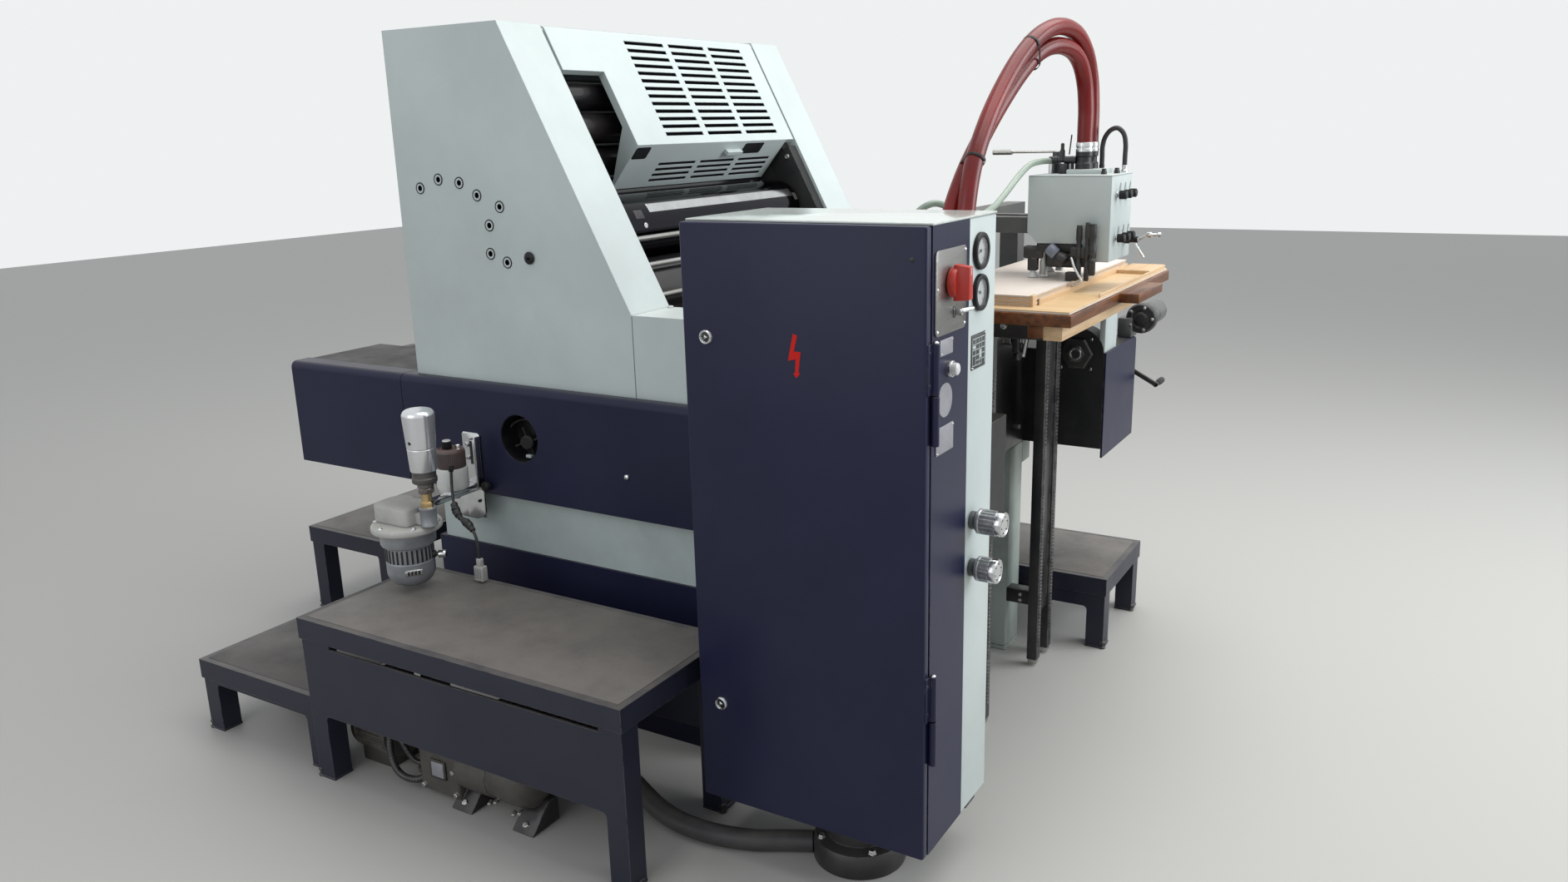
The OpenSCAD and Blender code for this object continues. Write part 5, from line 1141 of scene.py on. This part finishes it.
# Bracket of thick chromed sheet: an upright with a slot and three screws, a cut-out foot plate on the
# blue cover, a shelf for the jar and the arm to the cast body.
bm = bmesh.new()
upright = [(-0.226, 0.5), (-0.166, 0.5), (-0.166, 0.716), (-0.172, 0.722), (-0.22, 0.722), (-0.226, 0.716)]
cut_sheet(bm, [(x, -0.6452, z) for x, z in upright], (0, 0.0048, 0), edge=0.0008)
foot = [(-0.29, 0.52), (-0.276, 0.494), (-0.196, 0.494), (-0.172, 0.504), (-0.166, 0.512), (-0.166, 0.575),
    (-0.29, 0.575)]
cut_sheet(bm, [(x, -0.6458, z) for x, z in foot], (0, 0.0054, 0), edge=0.001)
brick(bm, (-0.169, -0.662, 0.585), (-0.166, -0.6405, 0.715), edge=0.001)
brick(bm, (-0.201, -0.6462, 0.64), (-0.193, -0.6448, 0.7), edge=0, mat=1)
for x, z, r in ((-0.197, 0.708, 0.0055), (-0.208, 0.69, 0.0065), (-0.208, 0.655, 0.0055),
        (-0.181, 0.545, 0.004), (-0.262, 0.545, 0.006)):
    turned(bm, [(r, 0), (r, 0.0045), (r * 0.8, 0.006), (r * 0.45, 0.006), (r * 0.4, 0.003), (0, 0.003)],
        (x, -0.6455, z), to_near, mat=1 if r < 0.005 else 0, steps=20)
brick(bm, (-0.225, -0.737, 0.5842), (-0.175, -0.6445, 0.593), edge=0.0012)
brick(bm, (-0.215, -0.8278, 0.5712), (-0.185, -0.6445, 0.5848), edge=0.0016)
piece("chrome_bracket", bm, "press", "chrome", [chrome, black_enamel], "sprayer_bracket")

# The lead is wound together with black tape under the jar, and ends in an off-white connector of
# moulded plastic with three grey contacts.
bm = bmesh.new()
wrap = [Vector(p) for p in ((-0.151, -0.761, 0.572), (-0.136, -0.769, 0.556), (-0.118, -0.776, 0.548),
    (-0.098, -0.783, 0.545), (-0.08, -0.788, 0.541), (-0.064, -0.792, 0.531))]
for i in range(18):
    t = i / 17 * (len(wrap) - 1)
    k = min(int(t), len(wrap) - 2)
    spot = wrap[k].lerp(wrap[k + 1], t - k)
    way = wrap[k + 1] - wrap[k] + Vector((0.004 * math.sin(i * 2.1), 0.003 * math.cos(i * 1.7),
        0.004 * math.sin(i * 1.3)))
    r = 0.0082 + 0.0022 * math.sin(i * 0.19 * math.pi) + 0.0008 * math.cos(i * 2.6)
    turned(bm, [(0.004, -0.004), (r * 0.92, -0.0034), (r, -0.001), (r, 0.0014), (r * 0.9, 0.0034),
        (0.004, 0.004)], spot, way, steps=20)
wrapping = piece("lead_tape", bm, "press", "black_plastic", [black_rubber])
bm = bmesh.new()
brick(bm, (-0.053, -0.801, 0.4425), (-0.039, -0.789, 0.462), edge=0.0015, segments=3)
brick(bm, (-0.06, -0.804, 0.4065), (-0.032, -0.786, 0.443), edge=0.0018, segments=3)
for x in (-0.0533, -0.046, -0.0387):
    brick(bm, (x - 0.0016, -0.8046, 0.413), (x + 0.0016, -0.8036, 0.438), edge=0, mat=1)
    turned(bm, [(0.002, 0), (0.002, 0.0012), (0, 0.0012)], (x, -0.795, 0.4068), to_floor, mat=1, steps=12)
plug = piece("off_white_connector", bm, "press", "white_plastic", [cream_cast, label_grey], "lead_plug")
hose("black_sprayer_lead", "sprayer_lead", [(-0.168, -0.744, 0.65), (-0.168, -0.746, 0.632),
    (-0.166, -0.749, 0.612), (-0.161, -0.754, 0.592), (-0.151, -0.761, 0.572), (-0.136, -0.769, 0.556),
    (-0.118, -0.776, 0.548), (-0.098, -0.783, 0.545), (-0.08, -0.788, 0.541), (-0.064, -0.792, 0.531),
    (-0.053, -0.794, 0.516), (-0.048, -0.795, 0.498), (-0.046, -0.795, 0.48), (-0.046, -0.795, 0.462)],
    0.007, black_rubber)


# The steps are folded and welded sheet steel in the same dark blue. Their flat tops are worn to a
# blotchy brown-grey inside the blue rim, darkest on the low one, and each leg has a small pad with a
# levelling bolt.
worn_tread = finish("worn_tread", (0.115, 0.105, 0.098), (0.062, 0.058, 0.06), (0.42, 0.65), scale=7,
    grain=220, bump=0.45, dust=(0.175, 0.16, 0.142, 0.85))
# The low step's tread is the same finish at about half the brightness.
darker_tread = finish("darker_tread", (0.055, 0.051, 0.05), (0.03, 0.028, 0.03), (0.42, 0.65), scale=7,
    grain=220, bump=0.45, dust=(0.085, 0.078, 0.072, 0.85))
for name, x, y, long, deep, high in (("high", -0.271, -1.147, 0.926, 0.377, 0.4),
        ("low", -0.7173, -1.125, 0.45, 0.29, 0.19), ("far", 0.692, 0.37, 0.45, 0.36, 0.21),
        ("delivery", -1.14, -0.46, 0.36, 0.6, 0.27)):
    bm = bmesh.new()
    brick(bm, (x + 0.016, y + 0.016, high - 0.006), (x + long - 0.016, y + deep - 0.016, high + 0.0009),
        edge=0.0007)
    piece(name + "_step_tread", bm, "press", "blue_paint", [darker_tread if name == "low" else worn_tread])
    bm = bmesh.new()
    for px in (x + 0.029, x + long - 0.029):
        for py in (y + 0.029, y + deep - 0.029):
            way = 1 if px > x + long / 2 else -1
            brick(bm, (px - 0.0262, py - 0.0262, 0), (px + 0.0262, py + 0.0262, 0.005), edge=0.001)
            brick(bm, (px + way * 0.012 - 0.018, py - 0.016, 0.006),
                (px + way * 0.012 + 0.018, py + 0.016, 0.014), edge=0.002)
            turned(bm, [(0, 0), (0.009, 0.0005), (0.0095, 0.004), (0.005, 0.006), (0.005, 0.022),
                (0, 0.022)], (px + way * 0.0225, py - 0.02, 0.0005), to_top, mat=1, steps=20)
            turned(bm, [(0.0078, 0.014), (0.0078, 0.02), (0.0066, 0.0212), (0, 0.0212)],
                (px + way * 0.0225, py - 0.02, 0), to_top, mat=1, steps=6)
    piece(name + "_step_feet", bm, "press", "blue_paint", [step_paint, black_steel])


# Air pump under the high step: dark oily castings on a bed, painted darker still as the shade under
# the step, with a finned motor, a pressure vessel, a valve box with a small framed window, bright screws
# and two angled feet.
pump_cast_and_shade = finish("pump_cast_and_shade", (0.085, 0.08, 0.07), (0.048, 0.045, 0.04), (0.35, 0.6), metal=0.1, scale=9,
    grain=90, bump=0.5, wear=(0.19, 0.18, 0.16), dust=(0.11, 0.1, 0.082, 0.7))
bm = bmesh.new()
brick(bm, (-0.06, -0.91, 0.0), (0.33, -0.83, 0.03), edge=0.004)
turned(bm, [(0, 0), (0.06, 0), (0.066, 0.006), (0.066, 0.05), (0.06, 0.054), (0.06, 0.3), (0.066, 0.304),
    (0.066, 0.354), (0.06, 0.36), (0.03, 0.36), (0, 0.3598)], (0.04, -0.87, 0.08), to_feeder, steps=48)
for i in range(11):
    x = 0.104 + 0.022 * i
    turned(bm, [(0.059, 0), (0.0645, 0.0008), (0.0645, 0.0042), (0.059, 0.005)], (x, -0.87, 0.08),
        to_feeder, steps=48)
brick(bm, (0.01, -1.085, 0.018), (0.13, -0.9, 0.15), edge=0.006, segments=3)
brick(bm, (0.05, -1.0905, 0.06), (0.096, -1.0845, 0.105), edge=0.001, mat=1)
brick(bm, (0.055, -1.0915, 0.065), (0.091, -1.0895, 0.1), edge=0.0005, mat=2)
for x, z in ((0.02, 0.03), (0.12, 0.03), (0.02, 0.14), (0.12, 0.14), (0.116, 0.085)):
    turned(bm, bolt(0.0065, 0.0045, 0.0052, 0.0058), (x, -1.085, z), to_near, mat=3, steps=6)
brick(bm, (0.128, -1.066, 0.1), (0.15, -1.02, 0.15), edge=0.003)
turned(bm, [(0, 0), (0.054, 0.001), (0.06, 0.006), (0.062, 0.016), (0.062, 0.096), (0.058, 0.1),
    (0.058, 0.12), (0.062, 0.124), (0.062, 0.178), (0.059, 0.19), (0.048, 0.204), (0.03, 0.214),
    (0.012, 0.22), (0, 0.221)], (0.129, -1.04, 0.1), to_feeder, steps=48)
for a in around(8, 20):
    turned(bm, bolt(0.0048, 0.0055, 0.0036, 0.0068), (0.316, -1.04 + 0.052 * math.cos(a),
        0.1 + 0.052 * math.sin(a)), to_feeder, mat=3, steps=6)
for x, z in ((0.232, 0.052), (0.25, 0.06), (0.3, 0.046), (0.318, 0.054)):
    turned(bm, [(0, 0), (0.0048, 0.0006), (0.0048, 0.012), (0.0036, 0.014), (0, 0.0142)], (x, -1.088, z),
        (0.2, -1, -0.2), mat=3, steps=16)
brick(bm, (0.129, -1.02, 0.05), (0.3, -0.9, 0.1), edge=0.005)
for x in (0.11, 0.29):
    part = bmesh.new()
    wedge = [(x, -1.095, 0.001), (x + 0.06, -1.095, 0.001), (x + 0.06, -1.01, 0.001), (x, -1.01, 0.001)]
    low = [part.verts.new(p) for p in wedge]
    top = [part.verts.new((p[0], max(p[1], -1.04), 0.058)) for p in wedge]
    for i in range(4):
        part.faces.new((low[i], low[(i + 1) % 4], top[(i + 1) % 4], top[i]))
    part.faces.new(low[::-1])
    part.faces.new(top)
    soften(part, part.edges[:], 0.002)
    join(bm, part, 1)
    turned(bm, bolt(0.008, 0.005, 0.0064, 0.0065), (x + 0.03, -1.08, 0.014), (0, -0.6, 0.8), mat=3, steps=6)
turned(bm, [(0, 0), (0.055, 0.002), (0.068, 0.012), (0.07, 0.022), (0.07, 0.028), (0.065, 0.03),
    (0.065, 0.11), (0.07, 0.112), (0.07, 0.126), (0.06, 0.13), (0, 0.13)], (-0.25, -1.0, 0.095), to_feeder,
    steps=48)
for a in around(24):
    spot = Vector((-0.18, -1.0 + 0.0672 * math.cos(a), 0.095 + 0.0672 * math.sin(a)))
    block(bm, spot, (0.04, 0.0028, 0.0012), edge=0.0004, turn=Matrix.Rotation(a, 3, "X"))
turned(bm, [(0.022, 0), (0.022, 0.06), (0.03, 0.064), (0.03, 0.104), (0.022, 0.108), (0.022, 0.132),
    (0, 0.132)], (-0.121, -1.0, 0.095), to_feeder, mat=1, steps=32)
brick(bm, (-0.24, -1.04, 0.0), (-0.14, -0.96, 0.05), edge=0.004)
piece("air_pump_castings", bm, "press", "cast_dark", [pump_cast_and_shade, black_steel, label_grey, bar_steel],
    "air_pump")

# Black hydraulic and air fittings crowd the pump's near end: two short bent pipes with six-sided
# unions at their ends.
bm = bmesh.new()
for path, r in (([(-0.1, -1.06, 0.12), (-0.095, -1.075, 0.1), (-0.08, -1.085, 0.06), (-0.05, -1.088, 0.034),
        (-0.01, -1.08, 0.03), (0.012, -1.06, 0.04)], 0.008), ([(-0.11, -1.04, 0.15), (-0.08, -1.07, 0.15),
        (-0.04, -1.085, 0.12), (-0.015, -1.08, 0.08), (0.012, -1.07, 0.07)], 0.006)):
    line = eased(path)
    bent_rod(bm, line, [r] * len(line), 0.001)
for x, y, z in ((-0.108, -1.052, 0.126), (0.004, -1.066, 0.056)):
    turned(bm, [(0, -0.012), (0.013, -0.011), (0.014, -0.006), (0.014, 0.01), (0.012, 0.012), (0, 0.012)],
        (x, y, z), (0, -0.6, 0.8), steps=6)
piece("pump_fittings", bm, "press", "black_steel", [black_steel])


# Pile hoist at the far side: a grey cast lay-shaft housing with a black hub on its end, held by five
# screws, and below it the boss of the crank. The crank is a flat steel arm with a black turned grip.
cast_grey = finish("cast_grey", (0.085, 0.09, 0.09), (0.14, 0.145, 0.14), (0.3, 0.5), metal=0.3, scale=9,
    grain=120, bump=0.4, wear=(0.3, 0.3, 0.29), dust=(0.16, 0.15, 0.13, 0.5))
bm = bmesh.new()
shaft_at = (1.14, 0.64, 0.905)
turned(bm, [(0, -0.05), (0.015, -0.049), (0.017, -0.044), (0.023, -0.043), (0.026, -0.046), (0.038, -0.046),
    (0.0415, -0.042), (0.042, -0.036), (0.042, -0.022), (0.04, -0.016), (0.032, -0.014)], shaft_at, to_far,
    mat=1, steps=56)
turned(bm, [(0, -0.014), (0.03, -0.014), (0.032, -0.01), (0.032, 0.04), (0.03, 0.042), (0.03, 0.046),
    (0.032, 0.048), (0.032, 0.122), (0.029, 0.129), (0, 0.13)], shaft_at, to_far, steps=56)
for a in around(5):
    turned(bm, bolt(0.0045, 0.004, 0.0034, 0.005), (1.14 + 0.032 * math.cos(a), 0.594,
        0.905 + 0.032 * math.sin(a)), to_near, mat=2, steps=6)
brick(bm, (1.078, 0.59, 0.85), (1.118, 0.65, 0.905), edge=0.003)
crank_at = (1.09, 0.64, 0.745)
turned(bm, [(0.022, 0), (0.022, 0.034), (0.02, 0.04), (0.0085, 0.04), (0.0081, 0.01)], crank_at, to_far,
    steps=40)
piece("hoist_lay_shaft", bm, "press", "cast_dark", [cast_grey, black_steel, bar_steel], "hoist_gear")
bm = bmesh.new()
turned(bm, [(0, 0.012), (0.0075, 0.012), (0.008, 0.014), (0.008, 0.042)], crank_at, to_far, steps=24)
turned(bm, [(0.008, 0.0418), (0.015, 0.0424), (0.016, 0.044), (0.016, 0.0545), (0.0145, 0.056), (0, 0.056)],
    crank_at, to_far, steps=32)
lean = Matrix.Rotation(math.radians(28), 3, "Y")
reach = lean @ Vector((1, 0, 0))
middle = Vector((1.09, 0.689, 0.745)) + reach * 0.045
block(bm, middle, (0.046, 0.0045, 0.0065), edge=0.002, turn=lean)
grip = Vector((1.09, 0.684, 0.745)) + reach * 0.09
turned(bm, [(0.007, 0), (0.007, 0.012), (0.004, 0.014), (0.004, 0.09), (0, 0.09)], grip, to_far, steps=24)
turned(bm, [(0, 0.024), (0.006, 0.0245), (0.0078, 0.03), (0.0098, 0.052), (0.0092, 0.074), (0.007, 0.083),
    (0, 0.0835)], grip, to_far, mat=1, steps=32)
turned(bm, [(0.0052, 0.083), (0.005, 0.0885), (0, 0.09)], grip, to_far, mat=2, steps=24)
piece("crank_with_grip", bm, "crank_handle", "black_steel", [black_steel, black_plastic, bar_steel],
    "crank_handle")
